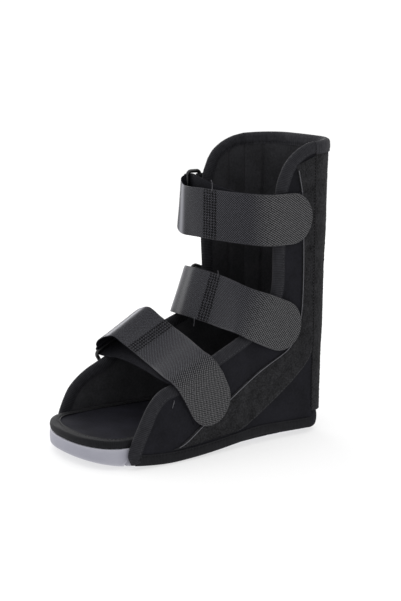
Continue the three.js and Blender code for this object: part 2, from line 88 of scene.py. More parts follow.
# Free edge of a side panel from the toe end of the hem up to the rim curve: y, z. The far panel droops
# a little further forward at the toe.
TOE_EDGE = {
    1: [
        (-97, 5.2), (-99.5, 13), (-96, 25), (-89.5, 39), (-79, 58.5), (-67, 70.5), (-50, 75.8),
        (-34, 81.5)],
    -1: [
        (-97, 5.2), (-102.4, 13), (-100.6, 25), (-94.4, 39), (-88.2, 49), (-79, 57.4), (-67, 65),
        (-50, 72.6), (-34, 80.8)]}
# The same edge from the instep up to the rim curve, on both panels: y, z
LEG_EDGE = [(-8, 94), (26, 107), (46, 116), (61, 129.5), (69, 148), (70, 190), (73, 250), (79.5, 268)]
# Rim curve of a side panel, from there to the back seam: y, z
RIM_EDGE = [(79.5, 268), (86, 276.5), (96, 284), (107, 289), (SEAM_Y, RIM_SEAM_Z)]
# Loop strip from its low toe end to the rim: front y, front z, rear y, rear z
LOOP_STRIP = [
    (-56, 13.4, 15, 18), (-45, 17.4, 28, 19.5), (-23.7, 31.6, 47, 28), (10.6, 52.4, 76.5, 46),
    (43, 70.4, 99, 62.5), (65, 80.5, 112, 75), (84, 89.4, 117.4, 86), (95.6, 102, 117.7, 101),
    (101.4, 120, 117.8, 120), (103.4, 141, 117.9, 141), (103.8, 189, 118, 189), (101.6, 240, 118, 240),
    (95, 270.6, 118, 278.6)]

# Strap routes from the sewn end of the inner layer, round the ring's front bar, to the tip. A row holds x,
# along and slide, or low x, low along, up x, up along and slide where the two edges part. Along runs square
# to the lay angle in the YZ plane, up and slide run with it. ring is the middle of the front bar, fold the
# slide before and after it. satin and mesh are lengths of the outer layer from the fold on, hook one from
# the tip back. The entry after hook gives the place, width and strength of a pale band painted across the
# strap where its fold rolls over: a painted highlight of the light that the rolled edge catches. A thread
# has a place, an edge and bends. tab is the route of the webbing that holds the ring: x, along.
STRAPS = {
    "top": dict(
        y=0, z=220, lay=90, ring=(-65.4, 53.6, 8.2), fold=(9.2, 8.2), satin=62.6, mesh=21.8, hook=58,
        wear_and_highlight=(23, 4.4, 1), threads=[(77, 1, (0.3, 0, 4), (0, -0.2, 8), (-1.2, -0.4, 9.6))],
        tab=[(-61.8, 108), (-62, 94), (-62.6, 85), (-62.6, 77)], tab_slide=2,
        inner=[
            (61.6, 103.5, 0), (62, 92, 0), (62.6, 80, 0), (62.4, 71, 0), (60.6, 65.2, 0), (55.5, 60, 0),
            (46, 55.6, 0), (29, 50.2, 0), (3, 45.6, 3.2), (-25, 45.6, 7.8), (-47, 50, 10.2),
            (-58, 54.8, 9.9)],
        outer=[
            (-67.2, 46.2, -66.6, 49.6, 7.4), (-67.4, 43.4, -66.4, 47.2, 6), (-64.6, 41.5, -63.6, 44.9, 3.2),
            (-59.8, 40.7, -59, 43.3, 0.4), (-53, 40.3, -53, 42.1, -0.8), (-42, 40.5, -0.8),
            (-25, 40.4, -0.2), (4, 42.6, 0), (32, 47.8, 0), (48, 53, 0), (57.6, 58, 0), (62.8, 64, 0),
            (64.6, 71, 0), (64.7, 80, 0), (64.2, 92, 0), (63.6, 103, 0), (63.1, 113.5, 0)]),
    "ankle": dict(
        y=40, z=136, lay=69, ring=(-66, 11.2, 1.2), fold=(2.1, 1.2), satin=66.8, mesh=17.6, hook=60,
        wear_and_highlight=(13.5, 4.2, 0.75), threads=[
            (80, 1, (0.2, 0, 2.2), (-0.4, 0, 4.6)), (64, -1, (0.3, -0.3, -3.5), (0, -0.6, -7.5))],
        tab=[(-62.2, 64), (-62.4, 53), (-62.9, 44), (-62.9, 36)], tab_slide=0,
        inner=[
            (61.9, 51, 61.3, 51, -6), (62.4, 38, 61.8, 39, -6), (63.3, 24, 62.2, 30.5, -5.5),
            (64.1, 12, 61.6, 23, -5), (64.2, 4.5, 58.6, 17.6, -4.5), (63.2, -1.6, 53, 13.4, -4),
            (58, -4.2, 45, 10, -3.5), (47, -3.6, 34, 6.8, -3), (26, -0.2, 19, 4.4, -2),
            (2, 2.6, 0, 2.8, -0.5), (-25, 3, -25, 3.4, 1.2), (-46, 5, -46, 6.4, 2.2),
            (-58, 10.6, -58, 12.4, 2.3)],
        outer=[
            (-68, 5.4, 0.8), (-66.4, 2, 0.7), (-59.5, -0.8, 0.6), (-50, -3, 0.5), (-38, -5.8, 0.4),
            (-31, -5.6, 0.4), (3, -0.8, 0, -1, -0.2), (28, -3, 20, 0.6, -1.5), (49, -6.2, 35, 3.2, -2.6),
            (60, -7, 46.6, 7, -3.5), (65.8, -3.6, 55, 11, -4), (66.2, 3.6, 60.8, 15.8, -4.5),
            (66.1, 12, 63.7, 22.2, -5), (65.3, 24, 64.2, 30, -5.5), (64.4, 38, 63.8, 39, -6),
            (63.9, 52, 63.2, 52, -6), (63.7, 66, 63, 66, -6)]),
    "foot": dict(
        y=-17.5, z=64, lay=28, ring=(-76.4, -28.4, 4.8), fold=(4.2, 5.4), satin=63.4, mesh=17, hook=62,
        wear_and_highlight=(31, 3.4, 1), threads=[],
        tab=[(-71, 22), (-71.2, 10), (-72, 1), (-72, -5)], tab_slide=-2,
        inner=[
            (70.3, 20, 67.1, 20, -1.6), (70.5, 5, 67.7, 5, -1), (71.8, -8, 69.8, -8, -1),
            (72.4, -19, 70.2, -15.5, -2), (72.4, -25.5, 70.3, -21, -3), (70, -30.2, 68, -26.2, -4),
            (63, -31.2, 61, -27.4, -4.5), (45, -30.8, 43, -28, -3), (20, -29.6, 18, -27.8, 1),
            (-10, -29.4, -11, -28.6, 4.2), (-40, -28.6, -40, -28.4, 5), (-62, -25.6, 4.6)],
        outer=[
            (-75, -36, -75, -36.4, 5.6), (-70.4, -40.8, -70.4, -41.6, 7.4), (-61, -44.6, -61, -45.6, 12),
            (-51, -45.2, -51, -46.2, 15.8), (-36, -39.4, -36, -38.9, 15.6), (-19, -34.6, -19, -33.2, 14),
            (20, -31.4, 18, -30, 7), (45, -33.4, 43, -30.8, 0.6), (61, -34, 59.2, -30.4, -3.2),
            (71, -32.4, 68.8, -28.4, -4), (74.8, -25.6, 72.6, -21.6, -3), (74.6, -17, 72.4, -13.6, -2),
            (73.7, -8, 71.7, -7.6, -1), (72.4, 6, 69.7, 6, -0.5), (72, 20, 69.2, 20, -0.5),
            (71.6, 34, 69, 34, -1)]),
}


# Curves

def lerp(a, b, t):
    return a + (b - a) * t


def ease(x, low, high):
    t = np.clip((np.asarray(x, float) - low) / (high - low), 0, 1)
    return t * t * (3 - 2 * t)


def bump(x, centre, width):
    return np.exp(-(((np.asarray(x, float) - centre) / width) ** 2))


def through(rows):
    """A smooth function through pairs of values."""
    keys, values = np.array(rows, float).T
    slopes = np.gradient(values, keys)

    def at(x):
        x = np.clip(np.asarray(x, float), keys[0], keys[-1])
        i = np.clip(np.searchsorted(keys, x) - 1, 0, len(keys) - 2)
        step = keys[i + 1] - keys[i]
        t = (x - keys[i]) / step
        rise = (2 * t**3 - 3 * t**2 + 1) * values[i] + (3 * t**2 - 2 * t**3) * values[i + 1]
        return rise + step * ((t**3 - 2 * t**2 + t) * slopes[i] + (t**3 - t**2) * slopes[i + 1])

    return at


def flowing(points, steps=12):
    """Points on a smooth curve through the given ones, the same number in each span."""
    p = np.array(points, float)
    p = np.vstack([2 * p[:1] - p[1:2], p, 2 * p[-1:] - p[-2:-1]])
    spans = []
    for a, b, c, d in zip(p, p[1:], p[2:], p[3:]):
        ta = 0.0
        tb = ta + np.linalg.norm(b - a) ** 0.5
        tc = tb + np.linalg.norm(c - b) ** 0.5
        td = tc + np.linalg.norm(d - c) ** 0.5
        t = np.linspace(tb, tc, steps, endpoint=False)[:, None]
        ab = (a * (tb - t) + b * (t - ta)) / (tb - ta)
        bc = (b * (tc - t) + c * (t - tb)) / (tc - tb)
        cd = (c * (td - t) + d * (t - tc)) / (td - tc)
        abc = (ab * (tc - t) + bc * (t - ta)) / (tc - ta)
        bcd = (bc * (td - t) + cd * (t - tb)) / (td - tb)
        spans.append((abc * (tc - t) + bcd * (t - tb)) / (tc - tb))
    return np.vstack([*spans, p[-2:-1]])


def run_of(line):
    """Distance along a line of points."""
    return np.concatenate([[0], np.cumsum(np.linalg.norm(np.diff(line, axis=0), axis=1))])


def sampled(line, run, at):
    """A line's points at the given distances along its run."""
    return np.stack([np.interp(at, run, line[:, k]) for k in range(line.shape[1])], 1)


def evenly(line, count):
    run = run_of(line)
    return sampled(line, run, np.linspace(0, run[-1], count))


def unit(vectors):
    return vectors / np.maximum(np.linalg.norm(vectors, axis=-1, keepdims=True), 1e-9)


# Surfaces of the upper

foot_half = through(FOOT_WIDTH)
hem_z = through(HEM)


def side_half(y, z):
    leg = lerp(LEG_FRONT_HALF, LEG_HALF, ease(y, LEG_FRONT_Y, LEG_FULL_Y))
    return lerp(foot_half(y), leg, ease(z, *FOOT_TO_LEG))


def on_side(side, y, z, out):
    y, z, out = np.broadcast_arrays(np.asarray(y, float), z, out)
    return np.stack([side * (side_half(y, z) + out), y, z], -1)


def on_back(turn, z, out):
    """A point out from the back's outside face; turn runs from -1 at the left seam to +1 at the right."""
    turn, z, out = (np.asarray(v, float) for v in np.broadcast_arrays(turn, z, out))
    radius = HEEL_Y + BACK_LEAN * z - SEAM_Y
    flat = LEG_HALF - radius
    run = np.abs(turn) * (flat + math.pi / 2 * radius)
    angle = np.maximum(0, run - flat) / radius
    x = np.minimum(run, flat) + (radius + out) * np.sin(angle)
    return np.stack([-np.sign(turn) * x, SEAM_Y + (radius + out) * np.cos(angle), z], -1)


def rim_z(turn):
    return lerp(RIM_Z, RIM_SEAM_Z, np.abs(turn) ** 2)


def drape(a, b, size):
    """Slow uneven ripples of cloth, from -1 to 1, with folds about as far apart as size."""
    k = 2 * math.pi / size
    along = np.sin(k * a + 1.7 * np.sin(0.61 * k * b + 0.4))
    across = np.sin(0.57 * k * b + 1.3 * np.sin(0.43 * k * a))
    return (along + across) / 2


# Meshes

def deselect():
    bpy.ops.object.select_all(action="DESELECT")


def select_only(piece):
    deselect()
    piece.select_set(True)
    bpy.context.view_layer.objects.active = piece


def set_points(piece, points):
    piece.data.vertices.foreach_set("co", (np.asarray(points, np.float32) * MM).ravel())
    piece.data.update()


def points_of(piece):
    flat = np.zeros(len(piece.data.vertices) * 3, np.float32)
    piece.data.vertices.foreach_get("co", flat)
    return flat.reshape(-1, 3) / MM


def set_weave(piece, weave):
    """Gives each corner its place on the cloth, in metres, as a UV map."""
    layer = piece.data.uv_layers[0]
    layer.name = "weave"
    corners = np.zeros(len(piece.data.loops), int)
    piece.data.loops.foreach_get("vertex_index", corners)
    at_corners = np.asarray(weave, np.float32).reshape(-1, 2)[corners] * MM
    layer.data.foreach_set("uv", at_corners.ravel())


def laid(name, points, weave, masks=None):
    """A flat grid added at unit size and laid on an array of points, rows by columns."""
    rows, columns = points.shape[:2]
    deselect()
    bpy.ops.mesh.primitive_grid_add(x_subdivisions=columns - 1, y_subdivisions=rows - 1, size=1)
    piece = bpy.context.object
    piece.name = piece.data.name = name
    set_points(piece, points)
    set_weave(piece, weave)
    for mask, values in (masks or {}).items():
        layer = piece.data.attributes.new(mask, "FLOAT", "POINT")
        layer.data.foreach_set("value", np.asarray(values, np.float32).ravel())
    return piece


def doubled(outer, inner):
    """Rows that run over an outer face and back over an inner one to where they began."""
    return np.concatenate([outer, inner[:, ::-1], outer[:, :1]], 1)


def closed(piece, angle=50):
    """Merges the seams of a laid grid, fills its open ends and turns its faces out."""
    select_only(piece)
    bpy.ops.object.mode_set(mode="EDIT")
    bpy.ops.mesh.select_all(action="SELECT")
    bpy.ops.mesh.remove_doubles(threshold=0.01 * MM)
    bpy.ops.mesh.select_all(action="DESELECT")
    bpy.ops.mesh.select_mode(type="EDGE")
    bpy.ops.mesh.select_non_manifold(extend=False, use_wire=False, use_multi_face=False, use_verts=False)
    bpy.ops.mesh.fill_holes(sides=0)
    bpy.ops.mesh.select_all(action="SELECT")
    bpy.ops.mesh.normals_make_consistent(inside=False)
    bpy.ops.object.mode_set(mode="OBJECT")
    bpy.ops.object.shade_smooth_by_angle(angle=math.radians(angle))
    return piece


def walled(name, outer, inner, place):
    """A wall closed between an outer face and an inner one, which is marked as lining."""
    lining = doubled(np.zeros(place.shape[:2]), np.ones(place.shape[:2]))
    return closed(laid(name, doubled(outer, inner), doubled(place, place), {"lining": lining}))


def modified(piece, kind, **settings):
    """Adds a modifier and applies it."""
    select_only(piece)
    added = piece.modifiers.new(kind.lower(), kind)
    for key, value in settings.items():
        setattr(added, key, value)
    bpy.ops.object.modifier_apply(modifier=added.name)


def dressed(piece, material, slot, *nodes, lining=None):
    """Gives a finished piece its material, body and the nodes that it stands for; the slot is not used."""
    piece.data.materials.clear()
    piece.data.materials.append(material)
    if lining:
        piece.data.materials.append(lining)
        inside = piece.data.attributes["lining"].data
        for face in piece.data.polygons:
            face.material_index = int(all(inside[v].value > 0.5 for v in face.vertices))
    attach(piece, "root")
    if nodes:
        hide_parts(*nodes)


# Materials

# A wave texture's bands repeat every pi / 10 of its coordinate, and its diagonal ones every pi / 5.
BAND = math.pi / 10
# Open mesh in the webbing: spacing of its holes along and across the strap, and where a hole's edge lies
# in the product of the two waves that make it
MESH_ALONG, MESH_ACROSS = 4.2, 2.75
MESH_HOLE = (0.07, 0.28)


def colour(code):
    """Linear colour from an sRGB hex value."""
    parts = [int(code[i:i + 2], 16) / 255 for i in (1, 3, 5)]
    return [c / 12.92 if c <= 0.04045 else ((c + 0.055) / 1.055) ** 2.4 for c in parts] + [1.0]


def node(tree, kind, links=None, out=0, **settings):
    """Adds a shader node with its settings, links or fills its sockets, and returns one of its outputs."""
    made = tree.nodes.new("ShaderNode" + kind)
    for key, value in settings.items():
        setattr(made, key, value)
    for socket, source in (links or {}).items():
        target = made.inputs[socket]
        if isinstance(source, bpy.types.NodeSocket):
            tree.links.new(source, target)
        else:
            target.default_value = source
    return made.outputs[out]


def surface(name, woven=False, **values):
    """A new material with values on its shader's sockets, its tree, and the place that its patterns read:
    the piece's own, or where it is woven, the place on the cloth."""
    material = bpy.data.materials.new(name)
    material.use_nodes = True
    tree = material.node_tree
    for socket, value in values.items():
        tree.nodes["Principled BSDF"].inputs[socket.replace("_", " ")].default_value = value
    place = node(tree, "UVMap", uv_map="weave") if woven else node(tree, "TexCoord", out="Object")
    return material, tree, place


# A Mix node takes numbers at sockets 2 and 3 or colours at 6 and 7, and gives a colour at output 2.
def toned(tree, value, low, high, first, last):
    """Turns a pattern into a tone: the first colour where its value is low, the last where it is high."""
    share = node(tree, "MapRange", {"Value": value, "From Min": low, "From Max": high})
    return node(tree, "Mix", {"Factor": share, 6: colour(first), 7: colour(last)}, 2, data_type="RGBA")


def ended(material, links, height=None, strength=1.0, depth=1.0):
    """Links patterns to the shader's sockets; a height, if any, becomes relief this deep."""
    tree = material.node_tree
    if height is not None:
        relief = {"Height": height, "Strength": strength, "Distance": depth * MM}
        links["Normal"] = node(tree, "Bump", relief)
    for socket, source in links.items():
        tree.links.new(source, tree.nodes["Principled BSDF"].inputs[socket])
    return material


def per(size):
    """Scale that makes a noise or cell pattern's features about this many millimetres across."""
    return 1 / (size * MM)


def nylon_webbing():
    # Woven nylon strap: a soft satin sheen near the fold, an open mesh band, then coarse twill with a dull
    # hook tip. The twill is drawn at 2.2 to 3.5 mm, coarser than real yarn, so that it shows. Painted light
    # on
    # it: a pale band on the fold's rolled edge is a painted highlight, the mesh holes are painted near-black
    # as the shade seen in them, and the back face is painted dark, partly its darker reverse side and partly
    # painted shade.
    material, tree, place = surface(
        "woven_nylon_webbing", woven=True, IOR=1.5, Specular_IOR_Level=0.07, Sheen_Weight=0.03,
        Sheen_Roughness=0.4)
    masks = {}
    for name in ("satin", "mesh", "hook", "wear_and_highlight", "back"):
        masks[name] = node(tree, "Attribute", out="Fac", attribute_name=name)
    waves = {}
    for name, along, across, way, settings in (
            ("twill", 2 / 3.5, 2 / 2.2, "DIAGONAL", {"Distortion": 1.2, "Detail": 2.0, "Detail Scale": 3.0}),
            ("yarn", 2 / 2.9, -2 / 2.6, "DIAGONAL", {"Distortion": 0.8, "Detail": 1.0}),
            ("column", 1 / MESH_ALONG, 0, "X", {}),
            ("row", 0, 1 / MESH_ACROSS, "Y", {})):
        scale = (BAND * along / MM, BAND * across / MM, 0)
        spaced = node(tree, "Mapping", {"Vector": place, "Scale": scale})
        settings = {"Vector": spaced, "Scale": 1.0, **settings}
        waves[name] = node(tree, "TexWave", settings, "Fac", bands_direction=way)
    broken = node(tree, "Math", {0: waves["twill"], 1: waves["yarn"]}, operation="MULTIPLY")
    woven = node(tree, "Mix", {"Factor": 0.7, 2: waves["twill"], 3: broken})
    fine = node(tree, "MapRange", {"Value": waves["yarn"], "To Min": 0.24, "To Max": 0.44})
    satin = node(tree, "Mix", {"Factor": masks["satin"], 2: woven, 3: fine})
    crossed = node(tree, "Math", {0: waves["column"], 1: waves["row"]}, operation="MULTIPLY")
    hole = node(tree, "MapRange", {
        "Value": crossed, "From Min": MESH_HOLE[0], "From Max": MESH_HOLE[1]},
        interpolation_type="SMOOTHSTEP")
    # Open mesh holes, painted near-black further down: painted shade for the dark seen in them.
    open_mesh = node(tree, "Math", {0: hole, 1: masks["mesh"]}, operation="MULTIPLY")
    fleck = node(tree, "TexNoise", {"Vector": place, "Scale": per(1.3), "Detail": 2.0}, "Fac")
    flecks = node(tree, "MapRange", {"Value": fleck, "From Min": 0.3, "From Max": 0.7})
    shade = node(tree, "Mix", {"Factor": 0.3, 2: satin, 3: flecks})
    tone = toned(tree, shade, 0.2, 0.72, "#161618", "#4c4c52")
    tip = toned(tree, shade, 0.2, 0.72, "#19191a", "#69696b")
    # Covers over the tone: the hook tip's own colour; near-black painted shade in the mesh holes; a pale
    # painted highlight on the fold's rolled edge; and a dark back face, partly its reverse side and partly
    # painted shade.
    for mask, cover in (
            (masks["hook"], tip), (open_mesh, colour("#0d0d10")), (masks["wear_and_highlight"], colour("#8e8e94")),
            (masks["back"], colour("#111113"))):
        tone = node(tree, "Mix", {"Factor": mask, 6: tone, 7: cover}, 2, data_type="RGBA")
    height = node(tree, "Math", {0: satin, 1: open_mesh}, operation="SUBTRACT")
    gloss = node(tree, "MapRange", {"Value": masks["satin"], "To Min": 0.7, "To Max": 0.5})
    return ended(material, {"Base Color": tone, "Roughness": gloss}, height, 0.55, 0.35)


def loop_pile():
    # Brushed polyester loop pile: matt and fuzzy, with lighter tufts and darker pits between them; the pits'
    # dark is partly random tone and partly painted shade. The tufts are drawn 1.6 mm across, coarser than
    # real ones, so that they show.
    material, tree, place = surface(
        "brushed_loop_pile", Roughness=0.95, IOR=1.5, Specular_IOR_Level=0.06, Sheen_Weight=0.03,
        Sheen_Roughness=0.5)
    tuft = node(tree, "TexNoise", {
        "Vector": place, "Scale": per(1.6), "Detail": 4.0, "Roughness": 0.65}, "Fac")
    patch = node(tree, "TexNoise", {"Vector": place, "Scale": per(9.0), "Detail": 2.0}, "Fac")
    mixed = node(tree, "Mix", {"Factor": 0.3, 2: tuft, 3: patch})
    # The tuft noise that raises the relief also darkens the colour where it is low: painted shade in the
    # pits.
    tone = toned(tree, mixed, 0.36, 0.64, "#131314", "#323234")
    return ended(material, {"Base Color": tone}, tuft, 0.8, 0.6)


def binding_tape(name, dark, light):
    # Polyester grosgrain tape: flat ribs across its length and a faint sheen on the folded edge. The ribs
    # are drawn 1.7 mm apart, coarser than real ones, so that they show.
    material, tree, place = surface(
        name, woven=True, Roughness=0.7, IOR=1.5, Specular_IOR_Level=0.08, Sheen_Weight=0.03)
    pitch = BAND / (1.7 * MM)
    ribbed = node(tree, "Mapping", {"Vector": place, "Scale": (pitch, pitch, 0)})
    rib = node(tree, "TexWave", {
        "Vector": ribbed, "Scale": 1.0, "Distortion": 0.6, "Detail": 1.0}, "Fac", bands_direction="X")
    wear = node(tree, "TexNoise", {"Vector": place, "Scale": per(5.0), "Detail": 4.0}, "Fac")
    mixed = node(tree, "Mix", {"Factor": 0.6, 2: rib, 3: wear})
    return ended(material, {"Base Color": toned(tree, mixed, 0.2, 0.8, dark, light)}, mixed, 0.4, 0.25)


def brushed_knit(name, dark, light):
    # Brushed polyester or nylon knit laminated on foam: smooth, dark, with a soft bloom at grazing angles.
    # Its nap is drawn at 2.2 mm, coarser than real fibres, so that it shows.
    material, tree, place = surface(
        name, Roughness=0.85, IOR=1.5, Specular_IOR_Level=0.06, Sheen_Weight=0.015, Sheen_Roughness=0.5)
    nap = node(tree, "TexNoise", {
        "Vector": place, "Scale": per(2.2), "Detail": 5.0, "Roughness": 0.6}, "Fac")
    cloud = node(tree, "TexNoise", {"Vector": place, "Scale": per(26.0), "Detail": 2.0}, "Fac")
    mixed = node(tree, "Mix", {"Factor": 0.5, 2: nap, 3: cloud})
    return ended(material, {"Base Color": toned(tree, mixed, 0.35, 0.65, dark, light)}, nap, 0.35, 0.3)


def eva_foam():
    # Moulded EVA foam: light cool grey, matt skin with fine pits and paler rubbed edges. The pits are drawn
    # 1.4 mm apart, coarser than real ones, so that they show.
    material, tree, place = surface("moulded_eva_foam", Roughness=0.6, IOR=1.48)
    pits = node(tree, "TexVoronoi", {"Vector": place, "Scale": per(1.4)}, "Distance", feature="F1")
    grime = node(tree, "TexNoise", {"Vector": place, "Scale": per(18.0), "Detail": 4.0}, "Fac")
    rubbed = node(tree, "NewGeometry", out="Pointiness")
    edge = node(tree, "MapRange", {"Value": rubbed, "From Min": 0.5, "From Max": 0.6})
    tone = toned(tree, grime, 0, 1, "#888894", "#9898a3")
    wear_and_highlight = node(tree, "Mix", {"Factor": edge, 6: tone, 7: colour("#d8d8de")}, 2, data_type="RGBA")
    return ended(material, {"Base Color": wear_and_highlight}, pits, 0.12, 0.3)


def shaded_hook_tape():
    # Moulded nylon hooks on the strap's inner face: dull and nearly black, partly their own dark colour and
    # partly painted shade, since the inner layer lies in shadow; the tone painted darker between the hooks
    # is painted shade too.
    material, tree, place = surface(
        "nylon_hooks_with_painted_shade", woven=True, Roughness=0.9, IOR=1.5, Specular_IOR_Level=0.02)
    hooks = node(tree, "TexVoronoi", {"Vector": place, "Scale": per(1.6)}, "Distance", feature="F1")
    return ended(material, {"Base Color": toned(tree, hooks, 0, 1, "#222226", "#161619")}, hooks, 0.5, 0.4)


def acetal():
    # Moulded black acetal: hard and semi-gloss, with a faint flow mark that breaks up its highlights.
    material, tree, place = surface("moulded_acetal", IOR=1.55, Base_Color=colour("#141416"))
    flow = node(tree, "TexNoise", {"Vector": place, "Scale": per(4.0), "Detail": 3.0}, "Fac")
    rough = node(tree, "MapRange", {"Value": flow, "To Min": 0.2, "To Max": 0.42})
    return ended(material, {"Roughness": rough}, flow, 0.1, 0.2)


def sewing_thread(name, dark, light):
    # Spun polyester thread: matt, with a twist along it.
    material, tree, place = surface(name, Roughness=0.6, IOR=1.5, Specular_IOR_Level=0.12)
    twist = node(tree, "TexNoise", {"Vector": place, "Scale": per(0.6), "Detail": 2.0}, "Fac")
    return ended(material, {"Base Color": toned(tree, twist, 0, 1, dark, light)})


WEBBING = nylon_webbing()
PILE = loop_pile()
TAPE = binding_tape("polyester_binding_tape", "#18181b", "#303034")
# A lighter copy of the binding tape, used on the rim.
RIM_TAPE = binding_tape("lighter_polyester_binding_tape", "#1c1c1f", "#38383c")
# A darker copy of the binding tape for the hem and footbed: painted shade low on the boot and inside it.
LOW_TAPE = binding_tape("shaded_polyester_binding_tape", "#101012", "#212124")
KNIT = brushed_knit("brushed_nylon_knit", "#151518", "#202025")
LINING = brushed_knit("polyester_lining", "#28282a", "#38383b")
INSOLE = brushed_knit("brushed_polyester_insole", "#131318", "#1f1f27")
FOAM = eva_foam()
PLASTIC = acetal()
SHADED_HOOKS = shaded_hook_tape()
THREAD = sewing_thread("spun_polyester_thread", "#2c2c2f", "#48484c")
PALE_THREAD = sewing_thread("grey_polyester_thread", "#57575b", "#79797e")
DARK_THREAD = sewing_thread("black_polyester_thread", "#060607", "#0c0c0e")


# Padded side panels

# Rows and columns, the shares of the height that follow the rim and the hem, and how the rim's share fades
PANEL_GRID = (210, 84)
RIM_SHARE, HEM_SHARE, RIM_EASE = 0.19, 0.12, 1.5
LINING_SEAM_Y, LINING_SEAM_WIDTH, LINING_SEAM_Z = 99.0, 2.0, (100, 130)
# How far the front of the leg is turned back on each side, low and high, the heights between which both
# set in, and the distance to the seam in which they fade
LEG_TWIST = {1: (2.8, 0.0), -1: (-3.8, -1.8)}
TWIST_LOW, TWIST_HIGH, TWIST_FADE = (115, 170), (170, 255), 30
# Outer cloth and lining: how far foam pushes them out, their ripples, and how slowly they rise from an edge
PUFF, PUFF_RIPPLE, PUFF_SIZE, PUFF_EDGE = 0.45, 0.18, 60, 12
SWELL, SWELL_RIPPLE, SWELL_SIZE, SWELL_EDGE = 1.5, 0.4, 46, 11


def twisted(side, rows):
    """An edge of a side panel: the leg sits a little turned, so its near edge lies further back."""
    y, z = np.array(rows, float).T
    hold = np.clip((SEAM_Y - y) / TWIST_FADE, 0, 1)
    low, high = LEG_TWIST[side]
    turned = low * ease(z, *TWIST_LOW) + high * ease(z, *TWIST_HIGH)
    return np.stack([y + turned * hold, z], 1)


def front_edge(side):
    return twisted(side, TOE_EDGE[side] + LEG_EDGE)


def flat_curve(rows, count):
    """A curve in the YZ plane, evenly spaced: y and z columns."""
    return evenly(flowing(rows), count)


def panel_places(side, rows, columns):
    """y and z over a side panel, from the hem up and from the free edge back to the seam."""
    front = flat_curve(front_edge(side), rows)
    rim = flat_curve(twisted(side, RIM_EDGE), columns)
    share = np.linspace(0, 1, columns)[None]
    level = np.linspace(0, 1, rows)[:, None]
    low, high = front[0], front[-1]
    rise = (front[:, 1:] - low[1]) / (high[1] - low[1])
    seam_z = lerp(HEM[-1][1], RIM_SEAM_Z, rise)
    hem_part = np.maximum(0, 1 - rise / HEM_SHARE)
    rim_part = np.maximum(0, 1 - (1 - level) / RIM_SHARE) ** RIM_EASE
    rim_off = rim.T[:, None] - lerp(high[:, None, None], rim[-1][:, None, None], share)
    y = lerp(front[:, :1], SEAM_Y, share) + rim_part * rim_off[0]
    arch = hem_z(y) - lerp(low[1], HEM[-1][1], share)
    z = lerp(front[:, 1:], seam_z, share) + hem_part * arch + rim_part * rim_off[1]
    return y, z


def edge_distance(side, y, z):
    """How far a place on a side panel lies in from its nearest edge."""
    line = np.vstack([flat_curve(front_edge(side), 160), flat_curve(twisted(side, RIM_EDGE), 40)])
    gap = np.full(y.shape, 1e9)
    for py, pz in line:
        gap = np.minimum(gap, np.hypot(y - py, z - pz))
    return np.minimum(np.minimum(gap, SEAM_Y - y), np.maximum(0, z - hem_z(y)))


def side_padding(side, y, z):
    """How far the outer cloth of a side panel is pushed out by its foam."""
    crown = 1 - np.exp(-edge_distance(side, y, z) / PUFF_EDGE)
    return crown * (PUFF + PUFF_RIPPLE * drape(y, z, PUFF_SIZE))


def side_panel(side, name):
    y, z = panel_places(side, *PANEL_GRID)
    crown = 1 - np.exp(-edge_distance(side, y, z) / SWELL_EDGE)
    seam = bump(y, LINING_SEAM_Y, LINING_SEAM_WIDTH) * ease(z, *LINING_SEAM_Z)
    swell = crown * (SWELL + SWELL_RIPPLE * drape(y, z, SWELL_SIZE)) - SWELL * seam
    outer = on_side(side, y, z, side_padding(side, y, z))
    inner = on_side(side, y, z, -PANEL_THICK - swell)
    piece = walled(name + "_padding", outer, inner, np.stack([y, z], -1))
    dressed(piece, KNIT, "panel", name + "_panel", lining=LINING)


# Binding tapes

# Stitch line in from a tape's free edge, and a dimple for every stitch
SEWN_IN, DIMPLE = 2.0, 0.35
# Puckers between stitches, slower ripples along the tape, and how far out on its section both set in
PUCKER, PUCKER_PITCH, RIPPLE, RIPPLE_SIZE, PUCKER_OUT = 0.12, 3.6, 0.22, 41, (2.6, 3.6)


def tape_section(width, wall, bulge=0.3, soft=0.7):
    """Section of a folded tape as b, in from the edge, and n, out from mid wall; it closes on itself."""
    half = wall / 2 + TAPE_CLEAR
    face = half + TAPE_THICK
    round_b = face * soft
    b = np.linspace(width, round_b, 9)
    n = face + bulge * np.sin(np.pi * (b - width) / (round_b - width))
    n -= DIMPLE * bump(b, width - SEWN_IN, 0.9)
    fold = np.linspace(0, np.pi, 11)[1:-1]
    reach = round_b + TAPE_CLEAR + TAPE_THICK
    fold_b, fold_n = round_b - reach * np.sin(fold), face * np.cos(fold)
    inside_b = np.array([width, -TAPE_CLEAR * 0.4, -TAPE_CLEAR * 0.4, width])
    inside_n = np.array([-half, -half * 0.95, half * 0.95, half])
    section_b = np.concatenate([b, fold_b, b[::-1], inside_b])
    section_n = np.concatenate([n, fold_n, -n[::-1], inside_n])
    return np.append(section_b, section_b[0]), np.append(section_n, section_n[0])


